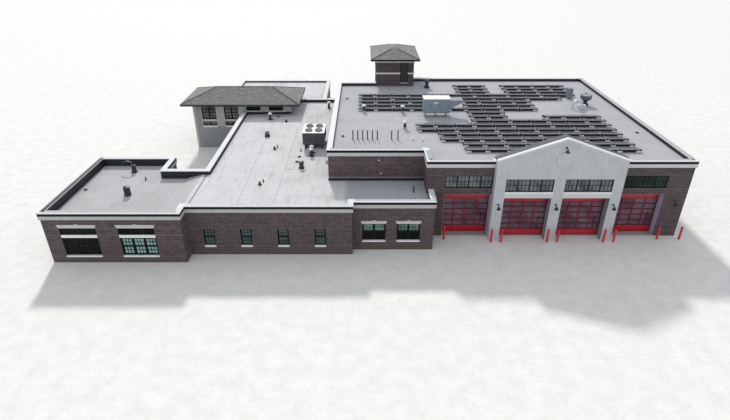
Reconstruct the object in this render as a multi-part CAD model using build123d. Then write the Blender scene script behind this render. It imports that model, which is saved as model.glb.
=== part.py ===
from build123d import *
import math
import os

os.makedirs("parts", exist_ok=True)

# Fire station at half size: every value is millimetres of the model
# One metre of the real building
M = 500.0

# Plan of the apparatus block, the high part
wall = 0.35 * M
high_left = -3.45 * M
high_step = 5.54 * M
high_right = 29.24 * M
door_front = 0.0 * M
setback_front = 2.63 * M
high_back_left = 26.12 * M
high_back = 28.34 * M
high_top = 7.69 * M
high_roof = 7.3 * M

# Plan of the low office blocks
west_left = -27.12 * M
west_front = -4.47 * M
west_back = 7.4 * M
office_left = -15.47 * M
office_front = -3.2 * M
entry_left = -1.1 * M
entry_front = -2.4 * M
entry_right = 6.1 * M
court_left = -19.5 * M
court_front = 4.35 * M
low_back = 28.0 * M
low_top = 4.92 * M
low_roof = 4.5 * M
west_roof = 4.1 * M
roof_ramp = 1.6 * M

# Rear wing
wing_left = -18.66 * M
wing_right = -5.4 * M
wing_back = 37.73 * M

# Hall with the hip roof
hall_left = -21.97 * M
hall_right = -9.4 * M
hall_front = 22.52 * M
hall_back = low_back
hall_eave = 5.85 * M
hall_overhang = 1.15 * M
hall_fascia = 0.25 * M
hall_rise = 1.25 * M

# Stair and hose tower
tower_left = 1.44 * M
tower_right = 6.3 * M
tower_front = 25.6 * M
tower_back = 32.7 * M
tower_eave = 10.62 * M
tower_overhang = 0.7 * M
tower_fascia = 0.2 * M
tower_rise = 0.95 * M

# Half the flat top of a hip roof's ridge
ridge_half = 0.03 * M

# Slabs
floor_thick = 0.1 * M
deck_thick = 0.15 * M

# Parapet trim, from the top down
coping_tall = 0.07 * M
coping_out = 0.11 * M
coping_in = 0.06 * M
line_tall = 0.2 * M
line_out = 0.09 * M
band_tall = 0.38 * M
band_out = 0.09 * M
trim_joint = 0.008 * M

# Apparatus doors and the glazed transoms over them
bay_centre = 17.18 * M
bay_pitch = 5.23 * M
bay_width = 4.27 * M
bay_height = 4.38 * M
transom_low = 4.99 * M
transom_high = 6.24 * M
transom_in = 0.05 * M
inner_leaf_in = 0.04 * M
outer_leaf_in = 0.7 * M
return_thick = 0.15 * M
leaf_thick = 0.08 * M
glass_thick = 0.03 * M
door_stile = 0.1 * M
door_rail = 0.09 * M
door_bottom_rail = 0.66 * M
door_top_rail = 0.78 * M
door_columns = 4
door_rows = 5

# Portal
portal_out = 0.78 * M
portal_pier = 0.93 * M
portal_half = (bay_pitch + bay_width) / 2 + portal_pier
portal_eave = 7.98 * M
portal_rise = 2.0 * M
rake_tall = 0.16 * M
rake_out = 0.1 * M
ledge_tall = 0.14 * M
ledge_out = 0.08 * M
medallion_radius = 0.62 * M
medallion_thick = 0.06 * M
medallion_height = 8.1 * M
medallion_rim = 0.08 * M
medallion_rim_out = 0.03 * M
medallion_sides = 36

# Windows
frame_in = 0.12 * M
frame_thick = 0.06 * M
frame_wide = 0.07 * M
west_window_width = 3.1 * M
west_window_centres = (-24.27 * M, -19.34 * M)
west_window_sill = 0.7 * M
west_window_head = 3.45 * M
spandrel_low = 2.47 * M
spandrel_high = 2.73 * M
spandrel_in = 0.03 * M
west_side_window_pitch = 5.2 * M
office_window_width = 1.0 * M
office_window_first = -13.66 * M
office_window_pitch = 3.24 * M
office_window_count = 4
office_window_sill = 0.93 * M
office_window_head = 2.6 * M
side_window_pitch = 6.0 * M
entry_window_width = 2.08 * M
entry_window_centres = (0.79 * M, 3.86 * M)
entry_window_sill = 0.96 * M
entry_window_head = 2.68 * M
sill_tall = 0.13 * M
sill_out = 0.06 * M
lintel_out = 0.04 * M
west_lintel_tall = 0.3 * M
entry_lintel_tall = 0.27 * M
lintel_splay = 0.12 * M
keystone_half = 0.16 * M
keystone_up = 0.06 * M

# Hall windows and entrance
hall_window_width = 1.85 * M
hall_window_first = -20.0 * M
hall_window_pitch = 2.88 * M
hall_head_gap = 0.3 * M
hall_window_head = hall_eave - hall_head_gap
hall_rail_low = 3.52 * M
hall_rail_high = 3.8 * M
hall_window_sill = 2.95 * M
hall_sill_tall = 0.18 * M
clerestory_tall = 0.6 * M
clerestory_sill = hall_window_head - clerestory_tall
entrance_width = 2.4 * M
entrance_height = 2.6 * M

# Tower door and trim
tower_door_width = 1.0 * M
tower_door_centre = 5.05 * M
tower_door_height = 2.55 * M
tower_door_bottom = 7.75 * M
tower_band_low = 8.85 * M
tower_band_tall = 0.2 * M
tower_trim_tall = 0.3 * M
tower_trim_out = 0.06 * M

# Roof equipment
solar_left = -0.74 * M
solar_pitch_x = 2.03 * M
solar_back = 24.7 * M
solar_pitch_y = 1.367 * M
solar_deep = 1.0 * M
solar_high = 0.34 * M
solar_low = 0.12 * M
solar_thick = 0.04 * M
solar_gap = 0.1 * M
rack_base = 0.03 * M
rack_lip = 0.04 * M
ballast_wide = 0.42 * M
ballast_deep = 0.2 * M
ballast_tall = 0.16 * M

# High unit: an air handler with an intake hood, raised on rails
high_unit_left = 6.36 * M
high_unit_long = 2.84 * M
high_unit_front = 12.9 * M
high_unit_deep = 1.3 * M
high_unit_tall = 1.4 * M
high_stand_tall = 0.6 * M
lid_tall = 0.06 * M
lid_out = 0.05 * M
hood_out = 1.4 * M
hood_drop = 0.12 * M
hood_lip = 0.25 * M
hood_foot = 0.3 * M

# Low unit: a packaged cooler with four fans on its top
low_unit_left = -6.72 * M
low_unit_long = 2.34 * M
low_unit_front = 10.68 * M
low_unit_deep = 2.92 * M
low_unit_tall = 1.2 * M
low_stand_tall = 0.6 * M
coil_margin = 0.12 * M
coil_in = 0.05 * M
cooling_fan_radius = 0.42 * M
cooling_fan_hole = 0.36 * M
cooling_fan_tall = 0.14 * M
cooling_fan_pitch_x = 1.06 * M
cooling_fan_pitch_y = 1.36 * M
stand_rail = 0.12 * M
stand_post = 0.1 * M

# Vents and pipes, each a place on its roof
cap_vent_stem = 0.14 * M
cap_vent_radius = 0.24 * M
cap_vent_tall = 0.7 * M
cap_tall = 0.12 * M
low_cap_vents = (
    (-11.79 * M, 20.43 * M),
    (-5.63 * M, 8.68 * M),
    (-5.63 * M, 9.5 * M),
    (-4.77 * M, 25.09 * M),
)
high_cap_vents = ((-0.11 * M, 14.78 * M), (4.21 * M, 14.5 * M), (4.12 * M, 9.18 * M))
west_cap_vents = ((-21.73 * M, 0.41 * M),)
boot_radius = 0.1 * M
boot_tall = 0.35 * M
low_boots = (
    (-9.71 * M, 19.56 * M),
    (-9.78 * M, 10.58 * M),
    (-9.84 * M, 1.75 * M),
    (-6.34 * M, 5.58 * M),
)
box_vent = (-11.2 * M, 14.5 * M)
box_vent_wide = 0.46 * M
box_vent_tall = 0.5 * M
pipe_radius = 0.055 * M
pipe_tall = 1.0 * M
pipe_row_y = 6.17 * M
pipe_row_left = -1.19 * M
pipe_pitch = 0.48 * M
pipe_count = 6
pipe_pair_left = 2.61 * M
pipe_pair_pitch = 0.62 * M
gooseneck_place = (-23.08 * M, 5.5 * M)
gooseneck_radius = 0.22 * M
gooseneck_tall = 0.75 * M
gooseneck_reach = 1.1 * M
gooseneck_rise = 0.45 * M
gooseneck_pipe = 0.06 * M

# Exhaust fans with a bowl that widens upward, and the small units beside the right one
fan_places = ((7.98 * M, 24.75 * M), (25.7 * M, 17.35 * M))
fan_bowls = (0.34 * M, 0.62 * M)
fan_curb = 0.6 * M
fan_curb_tall = 0.25 * M
fan_neck = 0.2 * M
fan_bowl_foot = 0.4 * M
fan_bowl_head = 0.85 * M
fan_tall = 1.2 * M
small_unit_left = 24.4 * M
small_unit_front = 19.75 * M
small_unit_wide = 0.65 * M
small_unit_deep = 0.6 * M
small_unit_tall = 0.95 * M
small_stand_tall = 0.3 * M
duct_box_left = 24.3 * M
duct_box_front = 15.6 * M
duct_box_long = 0.9 * M
duct_box_deep = 0.5 * M
duct_box_tall = 0.5 * M
duct_radius = 0.11 * M
duct_reach = 1.05 * M
duct_rise = 0.6 * M

# Wall lamps: a plate, an arm and a shade
lamp_height = 3.4 * M
lamp_reach = 0.35 * M
lamp_plate_radius = 0.1 * M
lamp_plate_thick = 0.04 * M
lamp_arm = 0.04 * M
lamp_shade_radius = 0.19 * M
lamp_shade_tall = 0.2 * M
lamp_neck_radius = 0.07 * M
lamp_neck_tall = 0.12 * M
brick_lamp_x = 28.3 * M
gable_lamp_gap = 0.16 * M

# Guard posts
bollard_radius = 0.11 * M
bollard_tall = 1.35 * M
bollard_sides = 16
portal_post_out = 0.35 * M
brick_post_out = 0.6 * M
post_margin = 0.16 * M


def block(x0, x1, y0, y1, z0, z1):
    """A box between two corners."""
    size = (x1 - x0, y1 - y0, z1 - z0)
    return Pos((x0 + x1) / 2, (y0 + y1) / 2, (z0 + z1) / 2) * Box(*size)


def disc(radius, tall, sides=10):
    """An upright round with few sides, because many repeat."""
    return extrude(RegularPolygon(radius, sides), tall)


def flare(foot_radius, head_radius, tall, sides=10):
    """An upright round that narrows evenly from foot to head."""
    inward = (foot_radius - head_radius) * math.cos(math.pi / sides)
    return extrude(RegularPolygon(foot_radius, sides), tall, taper=math.degrees(math.atan(inward / tall)))


class WallFace:
    """The outer face of a wall: axis is the direction of its normal, sign its side."""

    def __init__(self, axis, plane, sign):
        self.axis = axis
        self.plane = plane
        self.sign = sign

    def block(self, u0, u1, z0, z1, d0, d1):
        """A box u0 to u1 along the wall, d0 to d1 inward from its face."""
        near = self.plane - self.sign * d0
        far = self.plane - self.sign * d1
        low, high = min(near, far), max(near, far)
        if self.axis == "y":
            return block(u0, u1, low, high, z0, z1)
        return block(low, high, u0, u1, z0, z1)

    def prism(self, points, d0, d1):
        """A profile in wall coordinates, extruded from d0 to d1 inward."""
        near = self.plane - self.sign * d0
        far = self.plane - self.sign * d1
        low, high = min(near, far), max(near, far)
        if self.axis == "y":
            plane = Plane(origin=(0, high, 0), x_dir=(1, 0, 0), z_dir=(0, -1, 0))
        else:
            plane = Plane(origin=(low, 0, 0), x_dir=(0, 1, 0), z_dir=(1, 0, 0))
        return extrude(plane * Polygon(*points, align=None), high - low, dir=plane.z_dir)


west_face = WallFace("y", west_front, -1)
office_face = WallFace("y", office_front, -1)
entry_face = WallFace("y", entry_front, -1)
door_face = WallFace("y", door_front, -1)
portal_face = WallFace("y", door_front - portal_out, -1)
west_side_face = WallFace("x", west_left, -1)
court_face = WallFace("x", office_left, -1)
wing_back_face = WallFace("y", wing_back, 1)
high_right_face = WallFace("x", high_right, 1)
high_back_face = WallFace("y", high_back, 1)
hall_face = WallFace("y", hall_front, -1)
hall_side_face = WallFace("x", hall_left, -1)
tower_face = WallFace("y", tower_front, -1)

frames = []
panes = []
stones = []


def glazing(face, u0, u1, z0, z1, columns, rows, inset=frame_in):
    """A frame with lights, and the sheet of glass behind it."""
    sheet_in = inset + frame_thick
    frame = face.block(u0, u1, z0, z1, inset, sheet_in)
    light_w = (u1 - u0 - frame_wide * (columns + 1)) / columns
    light_h = (z1 - z0 - frame_wide * (rows + 1)) / rows
    for i in range(columns):
        for j in range(rows):
            left = u0 + frame_wide + i * (light_w + frame_wide)
            foot = z0 + frame_wide + j * (light_h + frame_wide)
            frame -= face.block(left, left + light_w, foot, foot + light_h, inset, sheet_in)
    sheet = face.block(u0, u1, z0, z1, sheet_in, sheet_in + glass_thick)
    frames.append(frame)
    panes.append(sheet)


def sill(face, u0, u1, top):
    """A stone sill that fills the foot of an opening."""
    stones.append(face.block(u0, u1, top - sill_tall, top, -sill_out, wall))


def lintel(face, u0, u1, foot, tall):
    """A splayed lintel with a keystone on the wall face."""
    middle = (u0 + u1) / 2
    top = foot + tall
    key_top = top + keystone_up
    points = [(u0, foot), (u1, foot), (u1 + lintel_splay, top)]
    points += [(middle + keystone_half, top), (middle + keystone_half, key_top)]
    points += [(middle - keystone_half, key_top), (middle - keystone_half, top)]
    points += [(u0 - lintel_splay, top)]
    stones.append(face.prism(points, -lintel_out, 0))


def centred(centre, width):
    return centre - width / 2, centre + width / 2


# Window openings, one list for each wall face, as (left, right, foot, head)
west_cuts, west_side_cuts, office_cuts, entry_cuts = [], [], [], []
court_cuts, wing_cuts = [], []


def west_window(face, cuts, centre):
    """A wide window under a transom light, with a band between them."""
    u0, u1 = centred(centre, west_window_width)
    cuts.append((u0, u1, west_window_sill - sill_tall, west_window_head))
    glazing(face, u0, u1, west_window_sill, spandrel_low, 3, 1)
    glazing(face, u0, u1, spandrel_high, west_window_head, 3, 1)
    spandrel_back = frame_in + frame_thick
    stones.append(face.block(u0, u1, spandrel_low, spandrel_high, spandrel_in, spandrel_back))
    sill(face, u0, u1, west_window_sill)
    lintel(face, u0, u1, west_window_head, west_lintel_tall)


def office_window(face, cuts, centre):
    """A narrow single window with a stone sill."""
    u0, u1 = centred(centre, office_window_width)
    cuts.append((u0, u1, office_window_sill - sill_tall, office_window_head))
    glazing(face, u0, u1, office_window_sill, office_window_head, 1, 2)
    sill(face, u0, u1, office_window_sill)


for centre in west_window_centres:
    west_window(west_face, west_cuts, centre)
west_side_centre = (west_front + west_back) / 2
for side in (-0.5, 0.5):
    west_window(west_side_face, west_side_cuts, west_side_centre + side * west_side_window_pitch)
for i in range(office_window_count):
    office_window(office_face, office_cuts, office_window_first + i * office_window_pitch)
court_middle = (court_front + hall_front) / 2
for i in range(office_window_count):
    centre = court_middle + (i - (office_window_count - 1) / 2) * office_window_pitch
    office_window(court_face, court_cuts, centre)
wing_middle = (wing_left + wing_right) / 2
for i in range(3):
    office_window(wing_back_face, wing_cuts, wing_middle + (i - 1) * office_window_pitch)
for centre in entry_window_centres:
    u0, u1 = centred(centre, entry_window_width)
    entry_cuts.append((u0, u1, entry_window_sill - sill_tall, entry_window_head))
    glazing(entry_face, u0, u1, entry_window_sill, entry_window_head, 2, 2)
    sill(entry_face, u0, u1, entry_window_sill)
    lintel(entry_face, u0, u1, entry_window_head, entry_lintel_tall)

# Apparatus bays: each has a door opening and a transom opening
bay_centres = [bay_centre + (i - 1.5) * bay_pitch for i in range(4)]
bay_cuts = []
for centre in bay_centres:
    u0, u1 = centred(centre, bay_width)
    bay_cuts.append((u0, u1, 0, bay_height))
    bay_cuts.append((u0, u1, transom_low, transom_high))

# Plain high windows on the unseen right and back sides of the block
side_window_middle = (door_front + high_back) / 2
high_right_cuts, high_back_cuts = [], []
for i in range(4):
    centre = side_window_middle + (i - 1.5) * side_window_pitch
    u0, u1 = centred(centre, bay_width / 2)
    high_right_cuts.append((u0, u1, transom_low, transom_high))
    glazing(high_right_face, u0, u1, transom_low, transom_high, 2, 1)
for centre in bay_centres:
    u0, u1 = centred(centre, bay_width)
    high_back_cuts.append((u0, u1, transom_low, transom_high))
    glazing(high_back_face, u0, u1, transom_low, transom_high, 4, 1)


def panel(face, u0, u1, z0, z1, cuts=()):
    """One straight wall with its openings cut through."""
    solid = face.block(u0, u1, z0, z1, 0, wall)
    for left, right, foot, head in cuts:
        solid -= face.block(left, right, foot, head, -wall, 2 * wall)
    return solid


# Brick walls of the low blocks, split into walls that run east-west and north-south
low_wall_top = low_top - coping_tall
low_front_walls = [
    panel(west_face, west_left, office_left, 0, low_wall_top, west_cuts),
    panel(office_face, office_left - wall, entry_left, 0, low_wall_top, office_cuts),
    panel(entry_face, entry_left - wall, entry_right, 0, low_wall_top, entry_cuts),
]
low_rear_walls = [
    panel(WallFace("y", west_back, 1), west_left, court_left, 0, low_wall_top),
    panel(WallFace("y", court_front, 1), court_left - wall, office_left + wall, 0, low_wall_top),
    panel(WallFace("y", low_back, 1), hall_right, high_left, 0, low_wall_top),
    panel(wing_back_face, wing_left, wing_right, 0, low_wall_top, wing_cuts),
]
low_side_walls = [
    panel(west_side_face, west_front + wall, west_back - wall, 0, low_wall_top, west_side_cuts),
    panel(WallFace("x", court_left, 1), court_front, west_back - wall, 0, low_wall_top),
    panel(court_face, court_front, hall_front, 0, low_wall_top, court_cuts),
    panel(WallFace("x", office_left, 1), west_front + wall, office_front, 0, low_wall_top),
    panel(WallFace("x", entry_left, 1), office_front + wall, entry_front, 0, low_wall_top),
    panel(WallFace("x", entry_right, 1), entry_front + wall, door_front, 0, low_wall_top),
    panel(WallFace("x", high_left, 1), high_back_left, low_back - wall, 0, low_wall_top),
    panel(WallFace("x", wing_right, 1), low_back, wing_back - wall, 0, low_wall_top),
    panel(WallFace("x", wing_left, -1), low_back, wing_back - wall, 0, low_wall_top),
]

# Brick walls of the apparatus block
high_wall_top = high_top - coping_tall
setback_face = WallFace("y", setback_front, -1)
front_wall = panel(door_face, high_step, high_right, 0, high_wall_top, bay_cuts)
setback_wall = panel(setback_face, high_left, high_step + wall, 0, high_wall_top)
high_side_walls = [
    panel(WallFace("x", high_left, -1), setback_front + wall, high_back_left - wall, 0, high_wall_top),
    panel(WallFace("x", high_step, -1), door_front + wall, setback_front, 0, high_wall_top),
    panel(high_right_face, door_front + wall, high_back - wall, 0, high_wall_top, high_right_cuts),
]
high_rear_walls = [
    panel(WallFace("y", high_back_left, 1), high_left, tower_left, 0, high_wall_top),
    panel(high_back_face, tower_right, high_right, 0, high_wall_top, high_back_cuts),
]


def plate(points, z0, z1):
    """A flat plate of any plan."""
    return extrude(Pos(0, 0, z0) * Polygon(*points, align=None), z1 - z0)


# Inner plans that the floor and the roof decks fill
west_in_left = west_left + wall
west_in_right = office_left - wall
court_in_front = court_front - wall
ramp_left = west_in_right - roof_ramp
main_plan = [
    (west_in_right, office_front + wall),
    (entry_left - wall, office_front + wall),
    (entry_left - wall, entry_front + wall),
    (entry_right - wall, entry_front + wall),
    (entry_right - wall, door_front),
    (high_step, door_front),
    (high_step, setback_front),
    (high_left, setback_front),
    (high_left, high_back_left),
    (high_left - wall, high_back_left),
    (high_left - wall, low_back - wall),
    (hall_right, low_back - wall),
    (hall_right, hall_front),
    (office_left + wall, hall_front),
    (office_left + wall, court_in_front),
    (west_in_right, court_in_front),
]
west_plan = [
    (west_in_left, west_front + wall),
    (ramp_left, west_front + wall),
    (ramp_left, court_in_front),
    (court_left - wall, court_in_front),
    (court_left - wall, west_back - wall),
    (west_in_left, west_back - wall),
]
ramp_plan = [
    (ramp_left, west_front + wall),
    (west_in_right, west_front + wall),
    (west_in_right, court_in_front),
    (ramp_left, court_in_front),
]
wing_plan = [
    (wing_left + wall, low_back),
    (wing_right - wall, low_back),
    (wing_right - wall, wing_back - wall),
    (wing_left + wall, wing_back - wall),
]
high_plan = [
    (high_step + wall, door_front + wall),
    (high_right - wall, door_front + wall),
    (high_right - wall, high_back - wall),
    (tower_right, high_back - wall),
    (tower_right, tower_front),
    (tower_left, tower_front),
    (tower_left, high_back_left - wall),
    (high_left + wall, high_back_left - wall),
    (high_left + wall, setback_front + wall),
    (high_step + wall, setback_front + wall),
]
hall_plan = [
    (hall_left + wall, hall_front + wall),
    (hall_right - wall, hall_front + wall),
    (hall_right - wall, hall_back - wall),
    (hall_left + wall, hall_back - wall),
]
tower_plan = [
    (tower_left + wall, tower_front + wall),
    (tower_right - wall, tower_front + wall),
    (tower_right - wall, tower_back - wall),
    (tower_left + wall, tower_back - wall),
]
low_floor = plate(main_plan, 0, floor_thick)
low_floor += plate(west_plan, 0, floor_thick)
low_floor += plate(ramp_plan, 0, floor_thick)
high_floor = plate(high_plan, 0, floor_thick)
for centre in bay_centres:
    u0, u1 = centred(centre, bay_width)
    high_floor += door_face.block(u0, u1, 0, floor_thick, 0, wall)
other_floors = [plate(plan, 0, floor_thick) for plan in (wing_plan, hall_plan, tower_plan)]
low_deck = plate(main_plan, low_roof - deck_thick, low_roof)
wing_deck = plate(wing_plan, low_roof, low_roof + deck_thick)
west_deck = plate(west_plan, west_roof - deck_thick, west_roof)
ramp_profile = [
    (ramp_left, west_roof - deck_thick),
    (west_in_right, low_roof - deck_thick),
    (west_in_right, low_roof),
    (ramp_left, west_roof),
]
ramp_depth = west_front + wall - court_in_front
west_deck += WallFace("y", west_front + wall, -1).prism(ramp_profile, 0, -ramp_depth)
high_deck = plate(high_plan, high_roof - deck_thick, high_roof)

# Parapet trim runs: face, start, end, and what each end meets
OUT, IN, BUTT = "outer corner", "inner corner", "wall"
portal_left = bay_centre - portal_half
portal_right = bay_centre + portal_half
low_runs = [
    (west_face, west_left, office_left, OUT, OUT),
    (west_side_face, west_front, west_back, OUT, OUT),
    (WallFace("y", west_back, 1), west_left, court_left, OUT, OUT),
    (WallFace("x", court_left, 1), court_front, west_back, IN, OUT),
    (WallFace("y", court_front, 1), court_left, office_left, IN, IN),
    (court_face, court_front, hall_front, IN, BUTT),
    (WallFace("x", office_left, 1), west_front, office_front, OUT, IN),
    (office_face, office_left, entry_left, IN, OUT),
    (WallFace("x", entry_left, 1), office_front, entry_front, OUT, IN),
    (entry_face, entry_left, entry_right, IN, OUT),
    (WallFace("x", entry_right, 1), entry_front, door_front, OUT, BUTT),
    (WallFace("x", high_left, 1), high_back_left, low_back, BUTT, OUT),
    (WallFace("y", low_back, 1), wing_right, high_left, IN, OUT),
    (WallFace("x", wing_right, 1), low_back, wing_back, IN, OUT),
    (wing_back_face, wing_left, wing_right, OUT, OUT),
    (WallFace("x", wing_left, -1), low_back, wing_back, BUTT, OUT),
]
high_runs = [
    (door_face, high_step, portal_left, OUT, BUTT),
    (door_face, portal_right, high_right, BUTT, OUT),
    (setback_face, high_left, high_step, OUT, IN),
    (WallFace("x", high_left, -1), setback_front, high_back_left, OUT, OUT),
    (WallFace("x", high_step, -1), door_front, setback_front, OUT, IN),
    (high_right_face, door_front, high_back, OUT, OUT),
    (WallFace("y", high_back_left, 1), high_left, tower_left, OUT, BUTT),
    (high_back_face, tower_right, high_right, BUTT, OUT),
]


def trim(runs, foot, head, out, inward):
    """A strip along each wall run, with a narrow joint where two meet at a corner."""
    strips = []
    for face, u0, u1, start, end in runs:
        if face.axis == "y":
            reach = {OUT: out, IN: inward, BUTT: 0}
        else:
            reach = {OUT: -inward - trim_joint, IN: -out - trim_joint, BUTT: 0}
        strips.append(face.block(u0 - reach[start], u1 + reach[end], foot, head, -out, inward))
    return strips


coping_depth = wall + coping_in
low_line_top = low_wall_top
low_band_top = low_line_top - line_tall
low_copings = trim(low_runs, low_wall_top, low_top, coping_out, coping_depth)
divider_end = wing_right - coping_depth - trim_joint
divider_face = WallFace("y", low_back, 1)
low_copings.append(divider_face.block(hall_right, divider_end, low_wall_top, low_top, 0, coping_depth))
low_lines = trim(low_runs, low_band_top, low_line_top, line_out, 0)
low_bands = trim(low_runs, low_band_top - band_tall, low_band_top, band_out, 0)
high_band_top = high_wall_top - line_tall
high_copings = trim(high_runs, high_wall_top, high_top, coping_out, coping_depth)
middle_left, middle_right = portal_left + trim_joint, portal_right - trim_joint
middle_coping = door_face.block(middle_left, middle_right, high_wall_top, high_top, 0, coping_depth)
high_copings.append(middle_coping)
high_lines = trim(high_runs, high_band_top, high_wall_top, line_out, 0)
high_bands = trim(high_runs, high_band_top - band_tall, high_band_top, band_out, 0)

# Portal: a gabled wall in front of the two middle bays
gable_points = [
    (portal_left, 0),
    (portal_right, 0),
    (portal_right, portal_eave),
    (bay_centre, portal_eave + portal_rise),
    (portal_left, portal_eave),
]
portal = portal_face.prism(gable_points, 0, portal_out)
for centre in bay_centres[1:3]:
    u0, u1 = centred(centre, bay_width)
    portal -= portal_face.block(u0, u1, 0, bay_height, -wall, portal_out + wall)
    portal -= portal_face.block(u0, u1, transom_low, transom_high, -wall, portal_out + wall)
rake_slope = portal_rise / portal_half
rake_drop = rake_slope * rake_out
rake_points = [
    (portal_left - rake_out, portal_eave - rake_drop),
    (bay_centre, portal_eave + portal_rise),
    (portal_right + rake_out, portal_eave - rake_drop),
    (portal_right + rake_out, portal_eave - rake_drop + rake_tall),
    (bay_centre, portal_eave + portal_rise + rake_tall),
    (portal_left - rake_out, portal_eave - rake_drop + rake_tall),
]
portal_coping = portal_face.prism(rake_points, -rake_out, portal_out + coping_in)
portal_coping -= portal_face.prism(gable_points, 0, portal_out)
for centre in bay_centres[1:3]:
    u0, u1 = centred(centre, bay_width)
    stones.append(portal_face.block(u0, u1, transom_low - ledge_tall, transom_low, -ledge_out, 0))
medallion_disc = disc(medallion_radius, medallion_thick + medallion_rim_out, medallion_sides)
medallion_hollow = disc(medallion_radius - medallion_rim, medallion_rim_out, medallion_sides)
medallion_disc -= Pos(0, 0, medallion_thick) * medallion_hollow
medallion = Pos(bay_centre, portal_face.plane, medallion_height) * Rot(90, 0, 0) * medallion_disc


def door_leaf(centre, inset):
    """A sectional door leaf with its lights, and the glass behind them."""
    u0, u1 = centred(centre, bay_width)
    back = inset + leaf_thick
    leaf = door_face.block(u0, u1, floor_thick, bay_height, inset, back)
    lights_foot = floor_thick + door_bottom_rail
    lights_head = bay_height - door_top_rail
    light_w = (bay_width - door_stile * (door_columns + 1)) / door_columns
    light_h = (lights_head - lights_foot - door_rail * (door_rows - 1)) / door_rows
    for i in range(door_columns):
        for j in range(door_rows):
            left = u0 + door_stile + i * (light_w + door_stile)
            foot = lights_foot + j * (light_h + door_rail)
            leaf -= door_face.block(left, left + light_w, foot, foot + light_h, inset, back)
    glass_foot = lights_foot - door_bottom_rail / 2
    glass_head = lights_head + door_top_rail / 2
    glass = door_face.block(u0, u1, glass_foot, glass_head, back, back + glass_thick)
    return leaf, glass


# The outer leaves stand deeper than the wall is thick, between returns at the sides and head
return_back = outer_leaf_in + leaf_thick + glass_thick
for centre in (bay_centres[0], bay_centres[-1]):
    u0, u1 = centred(centre, bay_width)
    left, right = u0 - return_thick, u1 + return_thick
    surround = door_face.block(left, right, floor_thick, bay_height + return_thick, wall, return_back)
    front_wall += surround - door_face.block(u0, u1, floor_thick, bay_height, wall, return_back)

leaf_insets = [outer_leaf_in, inner_leaf_in, inner_leaf_in, outer_leaf_in]
leaves = [door_leaf(centre, inset) for centre, inset in zip(bay_centres, leaf_insets)]

# Transoms: the middle two are set in the portal, the outer two in the brick
frames, window_frames = [], frames
panes, window_panes = [], panes
for centre, face in zip(bay_centres, (door_face, portal_face, portal_face, door_face)):
    u0, u1 = centred(centre, bay_width)
    glazing(face, u0, u1, transom_low, transom_high, 4, 1, transom_in)
transom_frames, transom_panes = frames, panes

# Hall: stucco walls, tall windows, a clerestory over the low roof, and a glazed entrance
hall_cuts = []
frames, panes = [], []
for i in range(4):
    u0, u1 = centred(hall_window_first + i * hall_window_pitch, hall_window_width)
    if u0 < office_left:
        hall_cuts.append((u0, u1, hall_window_sill - hall_sill_tall, hall_window_head))
        hall_sill_foot = hall_window_sill - hall_sill_tall
        stones.append(hall_face.block(u0, u1, hall_sill_foot, hall_window_sill, -sill_out, wall))
        glazing(hall_face, u0, u1, hall_window_sill, hall_rail_low, 2, 1)
        glazing(hall_face, u0, u1, hall_rail_high, hall_window_head, 2, 1)
        rail_back = frame_in + frame_thick
        stones.append(hall_face.block(u0, u1, hall_rail_low, hall_rail_high, spandrel_in, rail_back))
    else:
        hall_cuts.append((u0, u1, clerestory_sill, hall_window_head))
        glazing(hall_face, u0, u1, clerestory_sill, hall_window_head, 2, 1)
hall_walls = block(hall_left, hall_right, hall_front, hall_back, 0, hall_eave)
hall_walls -= plate(hall_plan, -wall, hall_eave + wall)
for left, right, foot, head in hall_cuts:
    hall_walls -= hall_face.block(left, right, foot, head, -wall, 2 * wall)
entrance_centre = (hall_front + hall_back) / 2
u0, u1 = centred(entrance_centre, entrance_width)
hall_walls -= hall_side_face.block(u0, u1, 0, entrance_height, -wall, 2 * wall)
glazing(hall_side_face, u0, u1, 0, entrance_height, 2, 1)
hall_frames, hall_panes = frames, panes


def hip_roof(x0, x1, y0, y1, foot, fascia, rise, run):
    """A hip roof over a plan, with a flat soffit and an upright fascia."""
    eave = foot + fascia
    ridge = eave + rise
    deep, long = y1 - y0, x1 - x0
    along_x = [(x0, foot), (x1, foot), (x1, eave), (x1 - run, ridge), (x0 + run, ridge), (x0, eave)]
    along_y = [(y0, foot), (y1, foot), (y1, eave), (y1 - run, ridge), (y0 + run, ridge), (y0, eave)]
    front = WallFace("y", y0, -1).prism(along_x, 0, deep)
    side = WallFace("x", x0, -1).prism(along_y, 0, long)
    return front & side


def hollow_hip(x0, x1, y0, y1, foot, overhang, fascia, rise):
    """A hip roof over walls, open below to the room inside them."""
    left, right = x0 - overhang, x1 + overhang
    near, far = y0 - overhang, y1 + overhang
    full_run = min(right - left, far - near) / 2
    slope = rise / full_run
    inset = overhang + wall
    inner_fascia = fascia + slope * inset - deck_thick
    run = full_run - ridge_half
    outer = hip_roof(left, right, near, far, foot, fascia, slope * run, run)
    inner_box = (left + inset, right - inset, near + inset, far - inset)
    inner_run = run - inset
    return outer - hip_roof(*inner_box, foot, inner_fascia, slope * inner_run, inner_run)


hall_roof = hollow_hip(
    hall_left, hall_right, hall_front, hall_back, hall_eave, hall_overhang, hall_fascia, hall_rise
)
tower_roof = hollow_hip(
    tower_left, tower_right, tower_front, tower_back, tower_eave, tower_overhang, tower_fascia, tower_rise
)

# Tower walls, band, eave trim and upper door
tower_walls = block(tower_left, tower_right, tower_front, tower_back, 0, tower_eave)
tower_walls -= plate(tower_plan, -wall, tower_eave + wall)
u0, u1 = centred(tower_door_centre, tower_door_width)
tower_door_top = tower_door_bottom + tower_door_height
tower_walls -= tower_face.block(u0, u1, tower_door_bottom, tower_door_top, -wall, 2 * wall)
tower_door = tower_face.block(u0, u1, tower_door_bottom, tower_door_top, frame_in, frame_in + leaf_thick)


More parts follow.
